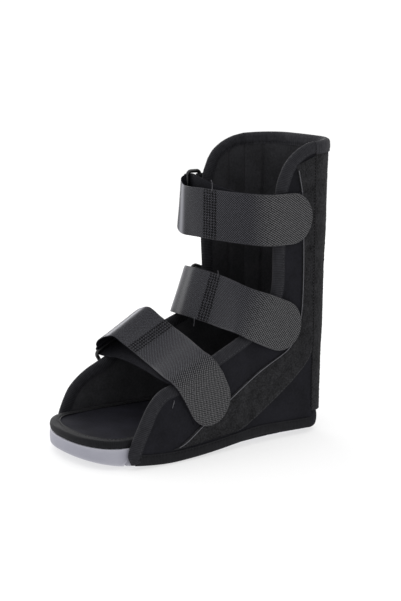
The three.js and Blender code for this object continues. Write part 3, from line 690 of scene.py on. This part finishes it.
def tape_piece(name, run, section, place, node_name, material):
    """Tape laid along a run: place(b, n) gives its points for a section at every station."""
    b, n = section
    pucker = PUCKER * np.sin(2 * math.pi * run / PUCKER_PITCH) + RIPPLE * drape(run, run * 0.3, RIPPLE_SIZE)
    swell = np.sign(n)[None] * pucker[:, None] * ease(np.abs(n), *PUCKER_OUT)[None]
    points = place(np.broadcast_to(b, (len(run), len(b))), n[None] + swell)
    around = run_of(np.stack([b, n], 1))
    weave = np.stack(np.broadcast_arrays(run[:, None], around[None]), -1)
    piece = closed(laid(name, points, weave))
    dressed(piece, material, "tape", node_name)
    sewn = b.max() - SEWN_IN
    face = n.max() - 0.3
    # Stitches on the low tape, which is painted darker as shade, take the black thread.
    seen = DARK_THREAD if material is LOW_TAPE else THREAD
    for side, out, yarn in (("outer", face, seen), ("inner", -face, DARK_THREAD)):
        stitches(name + "_" + side + "_stitches", *sewn_line(place, len(run), sewn, out), yarn)


def line_frame(line):
    """Run along a line in the YZ plane and the unit vector in from it, square to its run."""
    ahead = unit(np.gradient(line, axis=0))
    return run_of(line), np.stack([ahead[:, 1], -ahead[:, 0]], 1)


def side_tape(side, line, width, name, node_name, material):
    run, inward = line_frame(line)

    def place(b, n):
        y = np.minimum(SEAM_Y, line[:, :1] + b * inward[:, :1])
        z = line[:, 1:] + b * inward[:, 1:]
        return on_side(side, y, z, n - PANEL_THICK / 2)

    tape_piece(name, run, tape_section(width, PANEL_THICK), place, node_name, material)


def free_edge(side):
    return evenly(np.vstack([flowing(front_edge(side)), flowing(twisted(side, RIM_EDGE))[1:]]), 300)


HEM_Y = np.linspace(SEAM_Y, HEM[0][0] + TAPE_MITRE, 160)
HEM_LINE = np.stack([HEM_Y, hem_z(HEM_Y)], 1)
# The back stops just short of both seams.
BACK_REACH = 0.996
BACK_TURNS = np.linspace(-BACK_REACH, BACK_REACH, 140)


def rim_tape():
    run = run_of(on_back(BACK_TURNS, rim_z(BACK_TURNS), 0))

    def place(b, n):
        return on_back(BACK_TURNS[:, None], rim_z(BACK_TURNS)[:, None] - b, n - PANEL_THICK / 2)

    tape_piece("rim_tape", run, tape_section(RIM_WIDTH, PANEL_THICK), place, "rim_binding", RIM_TAPE)


# Back panel and heel wrap

# Turn at which the lining is sewn in a rear corner, the length that one turn stands for on the cloth, and
# the depth and widths, in turns, of the lining's seams
CORNER_SEAM, TURN_LENGTH = 0.69, 90
SEAM_DEPTH, CORNER_SEAM_WIDTH, END_SEAM_WIDTH = 1.7, 0.022, 0.03
# Pile and lining of the back: how far foam pushes them out, their ripples, and the pile's tufts,
# which are coarser than real ones so that they show
BACK_PUFF, BACK_RIPPLE, BACK_RIPPLE_SIZE = 0.3, 0.35, 55
BACK_SWELL, BACK_SWELL_RIPPLE, BACK_SWELL_SIZE, BACK_SWELL_EDGE = 1.8, 0.4, 50, 14
BACK_TUFT, BACK_TUFT_SIZES = 0.4, (3.1, 2.3)
BACK_GRID, WRAP_GRID = (150, 190), (110, 14)
# How far the heel wrap's edges are tucked in, and how far its middle stands out from them
WRAP_TUCK, WRAP_CROWN = 1.4, 2.4


def back_piece(name, grid, height, outside, inside):
    """A band round the back, closed between an outside and an inside offset at every place."""
    turn, level = np.meshgrid(np.linspace(-BACK_REACH, BACK_REACH, grid[0]), np.linspace(0, 1, grid[1]))
    z = height(turn, level)
    outer = on_back(turn, z, outside(turn, z))
    inner = on_back(turn, z, inside(turn, z))
    return walled(name, outer, inner, np.stack([turn * TURN_LENGTH, z], -1))


def back_padding():
    def height(turn, level):
        return lerp(BACK_BOTTOM_Z, rim_z(turn), level)

    def outside(turn, z):
        run = turn * TURN_LENGTH
        wide, narrow = (drape(run, z, size) for size in BACK_TUFT_SIZES)
        return BACK_PUFF + BACK_RIPPLE * drape(run, z, BACK_RIPPLE_SIZE) + BACK_TUFT * wide * narrow

    def inside(turn, z):
        seam = bump(np.abs(turn), CORNER_SEAM, CORNER_SEAM_WIDTH) + bump(np.abs(turn), 1.0, END_SEAM_WIDTH)
        crown = 1 - np.exp(-(RIM_Z - z) / BACK_SWELL_EDGE)
        swell = BACK_SWELL + BACK_SWELL_RIPPLE * drape(turn * TURN_LENGTH, z, BACK_SWELL_SIZE)
        return -PANEL_THICK - crown * (swell - SEAM_DEPTH * np.minimum(seam, 1))

    piece = back_piece("back_padding", BACK_GRID, height, outside, inside)
    dressed(piece, PILE, "pile", "back_panel", lining=LINING)


def heel_wrap():
    low, high = WRAP_BOTTOM_Z, BACK_BOTTOM_Z - GAP

    def height(turn, level):
        return lerp(low, high, level)

    def outside(turn, z):
        round_off = np.sin(np.pi * np.clip((z - low) / (high - low), 0, 1)) ** 0.5
        return -WRAP_INSET - WRAP_TUCK + WRAP_CROWN * round_off

    def inside(turn, z):
        return np.full(turn.shape, -WRAP_INSET - WRAP_THICK)

    piece = back_piece("heel_wrap_cloth", WRAP_GRID, height, outside, inside)
    dressed(piece, KNIT, "panel", "heel_wrap")


# Loop strip

STRIP_GRID = (230, 34)
# Fuzz of the pile, how far its edges are rounded down, and how deep its sewing sinks in
FUZZ, STRIP_ROUND, STRIP_SUNK = 0.22, 0.7, 0.15
# Where the cord and the stitches lie, as shares of the width from the front edge
CORD_SHARE, SEWN_SHARE = 0.035, 0.965


def strip_places(rows, columns):
    line = flowing(LOOP_STRIP, 14)
    mid = (line[:, :2] + line[:, 2:]) / 2
    run = run_of(mid)
    line = sampled(line, run, np.linspace(0, run[-1], rows))
    share = np.linspace(0, 1, columns)[None]
    y = lerp(line[:, :1], line[:, 2:3], share)
    z = lerp(line[:, 1:2], line[:, 3:4], share)
    return y, z


def strip_sewing(share):
    """A line on the loop strip at a share of its width, short of both ends, and its outward directions."""
    y, z = strip_places(STRIP_GRID[0], 101)
    column = int(round(share * 100))
    y, z = y[3:-3, column], z[3:-3, column]
    out = side_padding(1, y, z) + GAP + STRIP_THICK
    line = on_side(1, y, z, out - STRIP_SUNK)
    return line, on_side(1, y, z, out + 1) - line


def loop_strip():
    rows, columns = STRIP_GRID
    y, z = strip_places(rows, columns)
    share = np.linspace(0, 1, columns)[None]
    edge = np.minimum(share, 1 - share) * columns
    fuzz = FUZZ * DRAW.standard_normal(y.shape) * ease(edge, 0.5, 3)
    rounding = STRIP_ROUND * (1 - ease(edge, 0, 2))
    base = side_padding(1, y, z) + GAP
    outer = on_side(1, y, z, base + STRIP_THICK - rounding + fuzz)
    inner = on_side(1, y, z, base)
    piece = walled("loop_pile_strip", outer, inner, np.stack([y, z], -1))
    dressed(piece, PILE, "pile", "loop_strip")
    thread("loop_strip_front_cord", strip_sewing(CORD_SHARE)[0][::6], PALE_THREAD, radius=0.34)
    stitches("loop_strip_rear_stitches", *strip_sewing(SEWN_SHARE), THREAD, pitch=3.4, length=3.1)


# Sole and footbed

def sole_outline():
    """Left half of the sole's outline, from the toe tip round to the heel, with its outward directions."""
    bend = 2 / SOLE_POWER
    angle = np.linspace(math.pi / 2, 0, 60, endpoint=False)
    toe_x = (foot_half(SOLE_TOE_START) - SOLE_INSET) * np.cos(angle) ** bend
    toe_y = lerp(SOLE_TOE_START, SOLE_TOE, np.sin(angle) ** bend)
    side_y = np.linspace(SOLE_TOE_START, SEAM_Y, 90, endpoint=False)
    heel = on_back(np.linspace(-1, SOLE_END_TURN, 30), 0.0, -SOLE_INSET)
    x = np.concatenate([np.maximum(0, toe_x), foot_half(side_y) - SOLE_INSET, heel[:, 0]])
    y = np.concatenate([toe_y, side_y, heel[:, 1]])
    line = evenly(np.stack([x, y], 1), 150)
    ahead = unit(np.gradient(line, axis=0))
    outward = np.stack([ahead[:, 1], -ahead[:, 0]], 1)
    outward[0] = (0, -1)
    return line, outward


OUTLINE, OUTWARD = sole_outline()


def spring_z(y):
    share = np.maximum(0, (SPRING_START - y) / (SPRING_START - SOLE_TOE))
    return SPRING_RISE * share**SPRING_POWER


def across_foot(profile_out, profile_z, columns):
    """Loops across the foot at every place of the outline: up the left wall, over and down the right."""
    left = OUTLINE[:, None] + profile_out[..., None] * OUTWARD[:, None]
    left = np.concatenate([left, profile_z[..., None]], -1)
    left[..., 0] = np.maximum(0, left[..., 0])
    right = left[:, ::-1] * (-1, 1, 1)
    share = np.linspace(0, 1, columns)[1:-1][None, :, None]
    over = lerp(left[:, -1:], right[:, :1], share)
    under = lerp(right[:, -1:], left[:, :1], share)
    return np.concatenate([left, over, right, under, left[:, :1]], 1)


def outsole():
    floor = spring_z(OUTLINE[:, 1])[:, None]
    cut = ease(OUTLINE[:, 1:], *UNDERCUT_Y)
    low_width, low_height = lerp(LOW_BEVEL, UNDERCUT_WIDTH, cut), lerp(LOW_BEVEL, UNDERCUT_HEIGHT, cut)
    turn = np.linspace(0, math.pi / 2, 5)[None]
    wall = np.linspace(0, 1, 6)[None, 1:-1]
    level = np.zeros_like(floor)
    round_in = lerp(1 - np.sin(turn), 1 - turn / (math.pi / 2), cut)
    round_up = lerp(1 - np.cos(turn), turn / (math.pi / 2), cut)
    bulge = WALL_BULGE * np.sin(np.pi * wall) + level
    out = np.concatenate([-low_width * round_in, bulge, -TOP_BEVEL * (1 - np.cos(turn)) + level], 1)
    middle = lerp(floor + low_height, SOLE_TOP - TOP_BEVEL, wall)
    upper = SOLE_TOP - TOP_BEVEL * (1 - np.sin(turn)) + level
    heights = np.concatenate([floor + low_height * round_up, middle, upper], 1)
    points = across_foot(out, heights, 12)
    piece = closed(laid("foam_outsole", points, points[..., :2]), SOLE_ANGLE)
    deselect()
    bpy.ops.mesh.primitive_cube_add(size=1, location=(0, TREAD_FIRST * MM, 0))
    groove = bpy.context.object
    groove.scale = (0.2, TREAD_WIDTH * MM, 2 * TREAD_DEPTH * MM)
    bpy.ops.object.transform_apply(location=True, rotation=True, scale=True)
    count = int((TREAD_LAST - TREAD_FIRST) / TREAD_PITCH) + 1
    modified(groove, "ARRAY", count=count, use_relative_offset=False, use_constant_offset=True,
             constant_offset_displace=(0, TREAD_PITCH * MM, 0))
    corners = points_of(groove)
    middles = TREAD_FIRST + TREAD_PITCH * np.round((corners[:, 1] - TREAD_FIRST) / TREAD_PITCH)
    corners[:, 2] += spring_z(middles)
    set_points(groove, corners)
    modified(piece, "BOOLEAN", operation="DIFFERENCE", object=groove, solver="EXACT")
    bpy.data.objects.remove(groove)
    select_only(piece)
    bpy.ops.object.shade_smooth_by_angle(angle=math.radians(SOLE_ANGLE))
    dressed(piece, FOAM, "sole", "outsole")


BED_MID = SOLE_TOP + GAP + TAPE_THICK + TAPE_CLEAR + BED_THICK / 2
BED_EDGE = BED_OVERHANG - TAPE_CLEAR - TAPE_THICK
# Padding of the footbed's top: its height, its ripples, and how far in from the rim that it sets in
BED_PUFF, BED_RIPPLE, BED_RIPPLE_SIZE, BED_SOFT = 0.5, 0.35, 48, 9


def footbed():
    half = BED_THICK / 2
    out = np.full((len(OUTLINE), 2), BED_EDGE)
    heights = BED_MID + np.array([[-half, half]]) + np.zeros((len(OUTLINE), 1))
    points = across_foot(out, heights, 40)
    reach = np.maximum(1, np.abs(points[..., :1]).max(1))
    inside = 1 - np.exp(-np.maximum(0, reach - np.abs(points[..., 0])) / BED_SOFT)
    top = points[..., 2] > BED_MID
    puff = BED_PUFF + BED_RIPPLE * drape(points[..., 0], points[..., 1], BED_RIPPLE_SIZE)
    points[..., 2] += np.where(top, inside * puff, 0)
    piece = closed(laid("padded_footbed", points, points[..., :2]))
    dressed(piece, INSOLE, "insole", "footbed")


def footbed_tape():
    right = slice(-2, 0, -1)
    line = np.vstack([OUTLINE, OUTLINE[right] * (-1, 1), OUTLINE[:1]])
    outward = np.vstack([OUTWARD, OUTWARD[right] * (-1, 1), OUTWARD[:1]])
    run = run_of(line)

    def place(b, n):
        flat = line[:, None] + (BED_EDGE - b)[..., None] * outward[:, None]
        return np.concatenate([flat, (BED_MID + n)[..., None]], -1)

    section = tape_section(BED_TAPE_WIDTH, BED_THICK, 0.05, 0.15)
    tape_piece("footbed_tape", run, section, place, "footbed_binding", LOW_TAPE)


# Sewing

STITCH_PITCH, STITCH_LENGTH, STITCH_THICK, STITCH_LEAN = 3.6, 2.5, 0.55, 0.12
# Seam between a side panel and the back: its low end, how far it lies in from the edge and out from the
# cloth, and how much further out on the loop strip, which sets in between two heights
SEAM_LOW_Z, SEAM_IN, SEAM_OUT, STRIP_OUT, STRIP_AT_SEAM = 26, 0.5, 0.25, 1.85, (84, 90)
# A direction that no thread runs along
ASKEW = (0.31, 0.52, 0.79)
# A thread that has come loose on the near panel
LOOSE_THREAD = [(70.2, -54.2, 61.5), (71, -54.6, 60.3), (71.1, -55.8, 57.5), (71, -56.4, 54.6)]


def stitches(name, line, outward, material, pitch=STITCH_PITCH, length=STITCH_LENGTH, wide=STITCH_THICK):
    """A row of stitches along a line on a surface: one is modelled, and copies are laid end to end."""
    deselect()
    bpy.ops.mesh.primitive_ico_sphere_add(subdivisions=1, radius=0.5)
    piece = bpy.context.object
    shape = np.array([v.co[:] for v in piece.data.vertices]) * (length, wide, STITCH_THICK)
    faces = np.array([f.vertices[:] for f in piece.data.polygons])
    run = run_of(line)
    places = np.arange(pitch / 2, run[-1], pitch)
    at = sampled(line, run, places)
    up = unit(sampled(outward, run, places))
    ahead = unit(sampled(np.gradient(line, run, axis=0), run, places))
    over = unit(np.cross(up, ahead))
    lean = STITCH_LEAN * DRAW.standard_normal((len(places), 1))
    ahead, over = unit(ahead + lean * over), unit(over - lean * ahead)
    axes = np.stack([ahead, over, up], 1)
    points = at[:, None] + np.einsum("vk,skj->svj", shape, axes)
    mesh = bpy.data.meshes.new(name)
    offsets = (np.arange(len(places)) * len(shape))[:, None, None]
    faces = (faces[None] + offsets).reshape(-1, 3)
    mesh.from_pydata((points.reshape(-1, 3) * MM).tolist(), [], faces.tolist())
    piece.data = mesh
    piece.name = name
    select_only(piece)
    bpy.ops.object.shade_smooth()
    dressed(piece, material, "tape")


def thread(name, line, material, radius=0.25):
    """A length of thread along a line of points."""
    line = evenly(flowing(line), 4 * len(line))
    ahead = unit(np.gradient(line, axis=0))
    over = unit(np.cross(ahead, ASKEW))
    under = np.cross(ahead, over)
    turn = np.linspace(0, 2 * math.pi, 7)[None, :, None]
    points = line[:, None] + radius * (np.cos(turn) * over[:, None] + np.sin(turn) * under[:, None])
    piece = closed(laid(name, points, points[..., :2]))
    dressed(piece, material, "tape")


def seam_stitches(side, name):
    """Close dark stitches down the seam between a side panel and the back."""
    z = np.linspace(SEAM_LOW_Z, RIM_SEAM_Z - RIM_WIDTH - 2, 200)
    on_strip = ease(z, *STRIP_AT_SEAM) if side > 0 else 0
    line = on_side(side, SEAM_Y - SEAM_IN, z, SEAM_OUT + STRIP_OUT * on_strip)
    stitches(
        name + "_seam_stitches", line, line * (1, 0, 0), DARK_THREAD, pitch=3.0, length=2.2, wide=2.3)


def sewn_line(place, stations, b, n):
    """A line on a laid surface and its outward directions, from the surface's own placing function."""
    line = place(np.full((stations, 1), b), np.full((stations, 1), n))[:, 0]
    lifted = place(np.full((stations, 1), b), np.full((stations, 1), n * 1.2))[:, 0]
    return line, unit(lifted - line)


# Straps, tabs and rings

def placing(strap):
    lay = math.radians(strap["lay"])
    along = np.array([0, math.sin(lay), -math.cos(lay)])
    up = np.array([0, math.cos(lay), math.sin(lay)])
    origin = np.array([0, strap["y"], strap["z"]], float)

    def place(x, run, slide):
        x, run, slide = (np.asarray(v, float)[..., None] for v in (x, run, slide))
        return origin + run * along + slide * up + x * np.array([1.0, 0, 0])

    return place


def round_bar(x, along, slides, start):
    """Rows of webbing half way round a ring's bar, sliding along it from the first value to the second."""
    turn = np.linspace(0, math.pi, 7)
    return [
        (x - WRAP_RADIUS * math.sin(start + a), along + WRAP_RADIUS * math.cos(start + a),
         lerp(*slides, a / math.pi)) for a in turn]


def webbing_line(strap, route, width):
    """Middle line, width direction and run of webbing along a route."""
    place = placing(strap)
    rows = np.array([(*row[:2], *row[:2], row[2]) if len(row) == 3 else row for row in route], float)
    low = flowing(place(rows[:, 0], rows[:, 1], rows[:, 4] - width / 2))
    high = flowing(place(rows[:, 2], rows[:, 3], rows[:, 4] + width / 2))
    middle = (low + high) / 2
    return middle, unit(high - low), run_of(middle)


# Relief of the webbing: depth of the mesh's holes, height of its band and of the hook tip, depth of the
# grooves along the edges
HOLE_DEPTH, BAND_RAISE, HOOK_RAISE, SELVEDGE_DIP = 0.55, 0.12, 0.15, 0.2
WEBBING_WAVE, WEBBING_WAVE_SIZE = 0.35, 74
STRAP_COLUMNS, TAB_COLUMNS = 56, 30
# Rows over a strap's round tip, which stops just short of a point
TIP_ROWS, TIP_TURN, TIP_BLUNT = 22, 0.485 * math.pi, 0.004


def selvedge(half, across):
    """A groove along both woven edges."""
    return SELVEDGE_DIP * bump(half - np.abs(across), 1.6, 0.7)


def webbing_wave(run, across):
    """How far webbing lies out of its plane."""
    return WEBBING_WAVE * drape(run, across, WEBBING_WAVE_SIZE)


def ribbon_section(columns):
    """Offsets round a flat section with round edges: across, edge and out, each from -1 to 1."""
    flat = np.linspace(-1, 1, columns)
    turn = np.linspace(math.pi / 2, -math.pi / 2, 7)[1:-1]
    across = np.concatenate([flat, np.full(5, 1.0), flat[::-1], np.full(5, -1.0), flat[:1]])
    edge = np.concatenate([np.zeros(columns), np.cos(turn), np.zeros(columns), -np.cos(turn[::-1]), [0]])
    out = np.concatenate([np.ones(columns), np.sin(turn), -np.ones(columns), np.sin(turn[::-1]), [1]])
    return across, edge, out


def ribbon(name, line, stations, half, thick, columns, relief, masks, origin, back=1.0):
    """Webbing along a line, closed at both ends; origin is the run from which its weave is counted."""
    middle, width_way, run = line
    at = sampled(middle, run, stations)
    across_way = unit(sampled(width_way, run, stations))
    ahead = unit(sampled(np.gradient(middle, run, axis=0), run, stations))
    normal = unit(np.cross(across_way, ahead))
    across, edge, out = ribbon_section(columns)
    distance = across[None] * (half[:, None] - thick / 2) + edge[None] * thick / 2
    beyond = stations[:, None] - origin
    raised = relief(beyond, distance, half[:, None])
    height = out * thick / 2 + raised * np.select([out < 0, out > 0], [-1.0, 0.3])
    height = height + webbing_wave(beyond, distance)
    points = at[:, None] + distance[..., None] * across_way[:, None] + height[..., None] * normal[:, None]
    weave = np.stack(np.broadcast_arrays(beyond, distance), -1)
    values = {mask: np.broadcast_to(value(beyond), distance.shape) for mask, value in masks.items()}
    values["satin"] = np.maximum(values["satin"], bump(half[:, None] - np.abs(distance), 0.9, 1.1))
    # The back face, towards the boot, is painted dark: partly the webbing's darker reverse side, partly
    # painted shade, since it lies in shadow behind the outer layer.
    values["back"] = np.broadcast_to(back * ease(out, -0.3, 0.3), distance.shape)
    values["lining"] = np.broadcast_to(out > -0.6, distance.shape)
    return closed(laid(name, points, weave, values), angle=60)


def strap_piece(name, strap):
    fold = round_bar(strap["ring"][0], strap["ring"][1], strap["fold"], 0)
    line = webbing_line(strap, strap["inner"] + fold + strap["outer"], STRAP_WIDTH)
    run = line[2]
    outermost = run[np.argmin(line[0][:, 0])]
    total = run[-1]
    stations = np.concatenate([
        np.arange(0, total - STRAP_TIP, 1.0),
        total - STRAP_TIP + STRAP_TIP * np.sin(np.linspace(0, TIP_TURN, TIP_ROWS))])
    near = np.clip(1 - (total - stations) / STRAP_TIP, 0, 1)
    half = STRAP_WIDTH / 2 * np.sqrt(np.maximum(TIP_BLUNT, 1 - near**2))
    mesh_start, mesh_end = strap["satin"], strap["satin"] + strap["mesh"]
    hook_start = total - outermost - strap["hook"]

    def in_mesh(u):
        return ease(u, mesh_start - 1, mesh_start + 1) * (1 - ease(u, mesh_end - 1, mesh_end + 1))

    def relief(u, v, half_width):
        inside = ease(half_width - np.abs(v), 1.5, 4)
        column = 0.5 - 0.5 * np.cos(2 * math.pi * u / MESH_ALONG)
        row = 0.5 - 0.5 * np.cos(2 * math.pi * v / MESH_ACROSS)
        holes = ease(column * row, *MESH_HOLE) * in_mesh(u) * inside
        hook = HOOK_RAISE * ease(u, hook_start - 5, hook_start + 5)
        return hook - HOLE_DEPTH * holes + BAND_RAISE * in_mesh(u) - selvedge(half_width, v)

    masks = {
        "satin": lambda u: (1 - ease(u, mesh_start - 2, mesh_start + 2)) * ease(u, -40, -20),
        "mesh": in_mesh,
        # A pale band across the fold's rolled edge: a painted highlight.
        "wear_and_highlight": lambda u: bump(u, *strap["wear_and_highlight"][:2]) * strap["wear_and_highlight"][2],
        "hook": lambda u: ease(u, hook_start - 18, hook_start + 12)}
    piece = ribbon(
        "strap_" + name + "_webbing", line, stations, half, STRAP_THICK, STRAP_COLUMNS, relief, masks,
        outermost)
    dressed(piece, WEBBING, "webbing", "strap_" + name, lining=SHADED_HOOKS)
    for i, (u, edge, *bend) in enumerate(strap["threads"]):
        at = sampled(np.hstack([line[0], line[1]]), run, [outermost + u])[0]
        root = at[:3] + at[3:] * edge * (STRAP_WIDTH / 2 - 0.5) + (0.4, -1.0, 0)
        path = [root - (0, 0, 1.5 * edge), root] + [root + step for step in np.array(bend)]
        thread(f"strap_{name}_thread_{i}", path, PALE_THREAD)


def tab_piece(name, strap):
    x, along, slide = strap["ring"]
    slide += strap["tab_slide"]
    layer = STRAP_THICK + GAP
    spread = 2 * WRAP_RADIUS - layer
    rows = strap["tab"]
    under = [(tx, ta, slide) for tx, ta in rows]
    over = [(tx - layer - spread * (i / len(rows)) ** 2, ta, slide) for i, (tx, ta) in enumerate(rows)]
    fold = round_bar(x, along + RING_REACH, (slide, slide), math.pi / 2)
    line = webbing_line(strap, under + fold[::-1] + over[::-1], TAB_WIDTH)
    stations = np.linspace(0, line[2][-1], 120)
    half = np.full(len(stations), TAB_WIDTH / 2)
    masks = {mask: lambda u: np.zeros(u.shape) for mask in ("satin", "mesh", "hook", "wear_and_highlight")}
    # The tab's back face is painted half as dark: partly its reverse side, partly painted shade.
    piece = ribbon("tab_" + name + "_webbing", line, stations, half, TAB_THICK, TAB_COLUMNS,
                   lambda u, v, h: -selvedge(h, v), masks, 0, back=0.5)
    dressed(piece, WEBBING, "webbing", "tab_" + name)
    middle, width_way, run = line
    far, near = run[-1] - TAB_BOX_END, run[-1] - TAB_BOX_START
    across = TAB_WIDTH / 2 - TAB_BOX_END
    corners = [(far, -across), (far, across), (near, across), (near, -across), (far, -across)]
    box = evenly(np.array(corners), 160)
    at, way = sampled(middle, run, box[:, 0]), sampled(width_way, run, box[:, 0])
    outward = np.broadcast_to((-1.0, 0, 0), at.shape)
    out = STRAP_THICK / 2 - 0.1 + webbing_wave(box[:, :1], box[:, 1:])
    stitches("tab_" + name + "_stitches", at + box[:, 1:] * way + outward * out, outward, DARK_THREAD)


def ring_piece(name, strap):
    """A plate's outline with rounded corners, swept with a round bar and set in the strap's plane."""
    x, along, slide = strap["ring"]
    deselect()
    bpy.ops.mesh.primitive_plane_add(size=1)
    piece = bpy.context.object
    piece.name = piece.data.name = "ring_" + name + "_loop"
    piece.scale = (RING_REACH * MM, (RING_LENGTH - RING_BAR) * MM, 1)
    bpy.ops.object.transform_apply(location=True, rotation=True, scale=True)
    bpy.ops.object.mode_set(mode="EDIT")
    bpy.ops.mesh.select_all(action="SELECT")
    bpy.ops.mesh.bevel(offset=RING_CORNER * MM, segments=8, affect="VERTICES")
    bpy.ops.mesh.select_all(action="SELECT")
    bpy.ops.mesh.delete(type="ONLY_FACE")
    bpy.ops.object.mode_set(mode="OBJECT")
    bpy.ops.object.convert(target="CURVE")
    piece = bpy.context.object
    piece.data.bevel_depth = RING_BAR / 2 * MM
    piece.data.bevel_resolution = 5
    bpy.ops.object.convert(target="MESH")
    piece = bpy.context.object
    out_x, out_along, out_slide = points_of(piece).T[[2, 0, 1]]
    set_points(piece, placing(strap)(x + out_x, along + RING_REACH / 2 + out_along, slide + out_slide))
    closed(piece)
    dressed(piece, PLASTIC, "plastic", "ring_" + name)


# The object

for side, name in ((1, "left"), (-1, "right")):
    side_panel(side, name)
    side_tape(side, free_edge(side), TAPE_WIDTH, name + "_edge_tape", name + "_edge_binding", TAPE)
    side_tape(side, HEM_LINE, HEM_WIDTH, name + "_hem_tape", name + "_hem_binding", LOW_TAPE)
    seam_stitches(side, name)
thread("left_panel_thread", LOOSE_THREAD, PALE_THREAD)
rim_tape()
back_padding()
heel_wrap()
loop_strip()
outsole()
footbed()
footbed_tape()
for name, strap in STRAPS.items():
    strap_piece(name, strap)
    tab_piece(name, strap)
    ring_piece(name, strap)

# Floor, light and camera

CAMERA_TURN, CAMERA_RISE, CAMERA_AWAY = 55.26, 11.36, 1487.6
CAMERA_LENS, CAMERA_SENSOR = 90.07, 36.0
TARGET = (0.0, 24.4, 136.05)
# Strength of the surroundings above the floor's level and below it, and the floor's own glow and size
SKY, GROUND = 0.9, 1.05
FLOOR_GLOW, FLOOR_RADIUS = 0.62, 1300.0


def studio():
    """A pale round floor, lit from below as well; past its rim the surroundings are white."""
    # Frosted acrylic over a light table: matt and even, so that only soft shadows show on it.
    material, tree, place = surface(
        "lit_acrylic_floor", Roughness=0.9, Specular_IOR_Level=0.1, Emission_Color=(1, 1, 1, 1),
        Emission_Strength=FLOOR_GLOW)
    grain = node(tree, "TexNoise", {"Vector": place, "Scale": per(3.0), "Detail": 2.0}, "Fac")
    ended(material, {"Base Color": toned(tree, grain, 0, 1, "#a8a8a8", "#acacac")})
    deselect()
    bpy.ops.mesh.primitive_circle_add(vertices=96, radius=FLOOR_RADIUS * MM, fill_type="NGON")
    floor = bpy.context.object
    floor.name = "floor"
    floor.data.materials.append(material)
    world = bpy.data.worlds.new("studio")
    bpy.context.scene.world = world
    world.use_nodes = True
    tree = world.node_tree
    way = node(tree, "TexCoord", out="Generated")
    height = node(tree, "SeparateXYZ", {"Vector": way}, "Z")
    above = node(tree, "MapRange", {
        "Value": height, "From Min": 0.0, "From Max": 0.05, "To Min": GROUND, "To Max": SKY})
    tree.links.new(above, tree.nodes["Background"].inputs["Strength"])
    tree.nodes["Background"].inputs["Color"].default_value = (1, 1, 1, 1)
    bpy.context.scene.view_settings.view_transform = "Standard"


def soft_light(name, place, aim, size, power):
    bpy.ops.object.light_add(type="AREA", location=[c * MM for c in place])
    lamp = bpy.context.object
    lamp.name = name
    lamp.data.size = size
    lamp.data.energy = power
    way = np.array(aim, float) - np.array(place, float)
    flat = math.hypot(way[0], way[1])
    lamp.rotation_euler = (math.atan2(flat, -way[2]), 0, math.atan2(-way[0], way[1]))


def camera():
    turn, rise = math.radians(CAMERA_TURN), math.radians(CAMERA_RISE)
    away = np.array([math.sin(turn) * math.cos(rise), -math.cos(turn) * math.cos(rise), math.sin(rise)])
    bpy.ops.object.camera_add(location=[float(c) * MM for c in np.array(TARGET) + CAMERA_AWAY * away])
    eye = bpy.context.object
    eye.rotation_euler = (math.pi / 2 - rise, 0, turn)
    eye.data.lens = CAMERA_LENS
    eye.data.sensor_width = CAMERA_SENSOR
    bpy.context.scene.camera = eye


studio()
soft_light("key", (-1800, -250, 600), (0, 0, 150), 1.0, 8)
soft_light("rim", (-1700, 550, 500), (0, 0, 150), 0.9, 10)
soft_light("overhead", (-200, 300, 2200), (0, 0, 0), 2.4, 13)
camera()
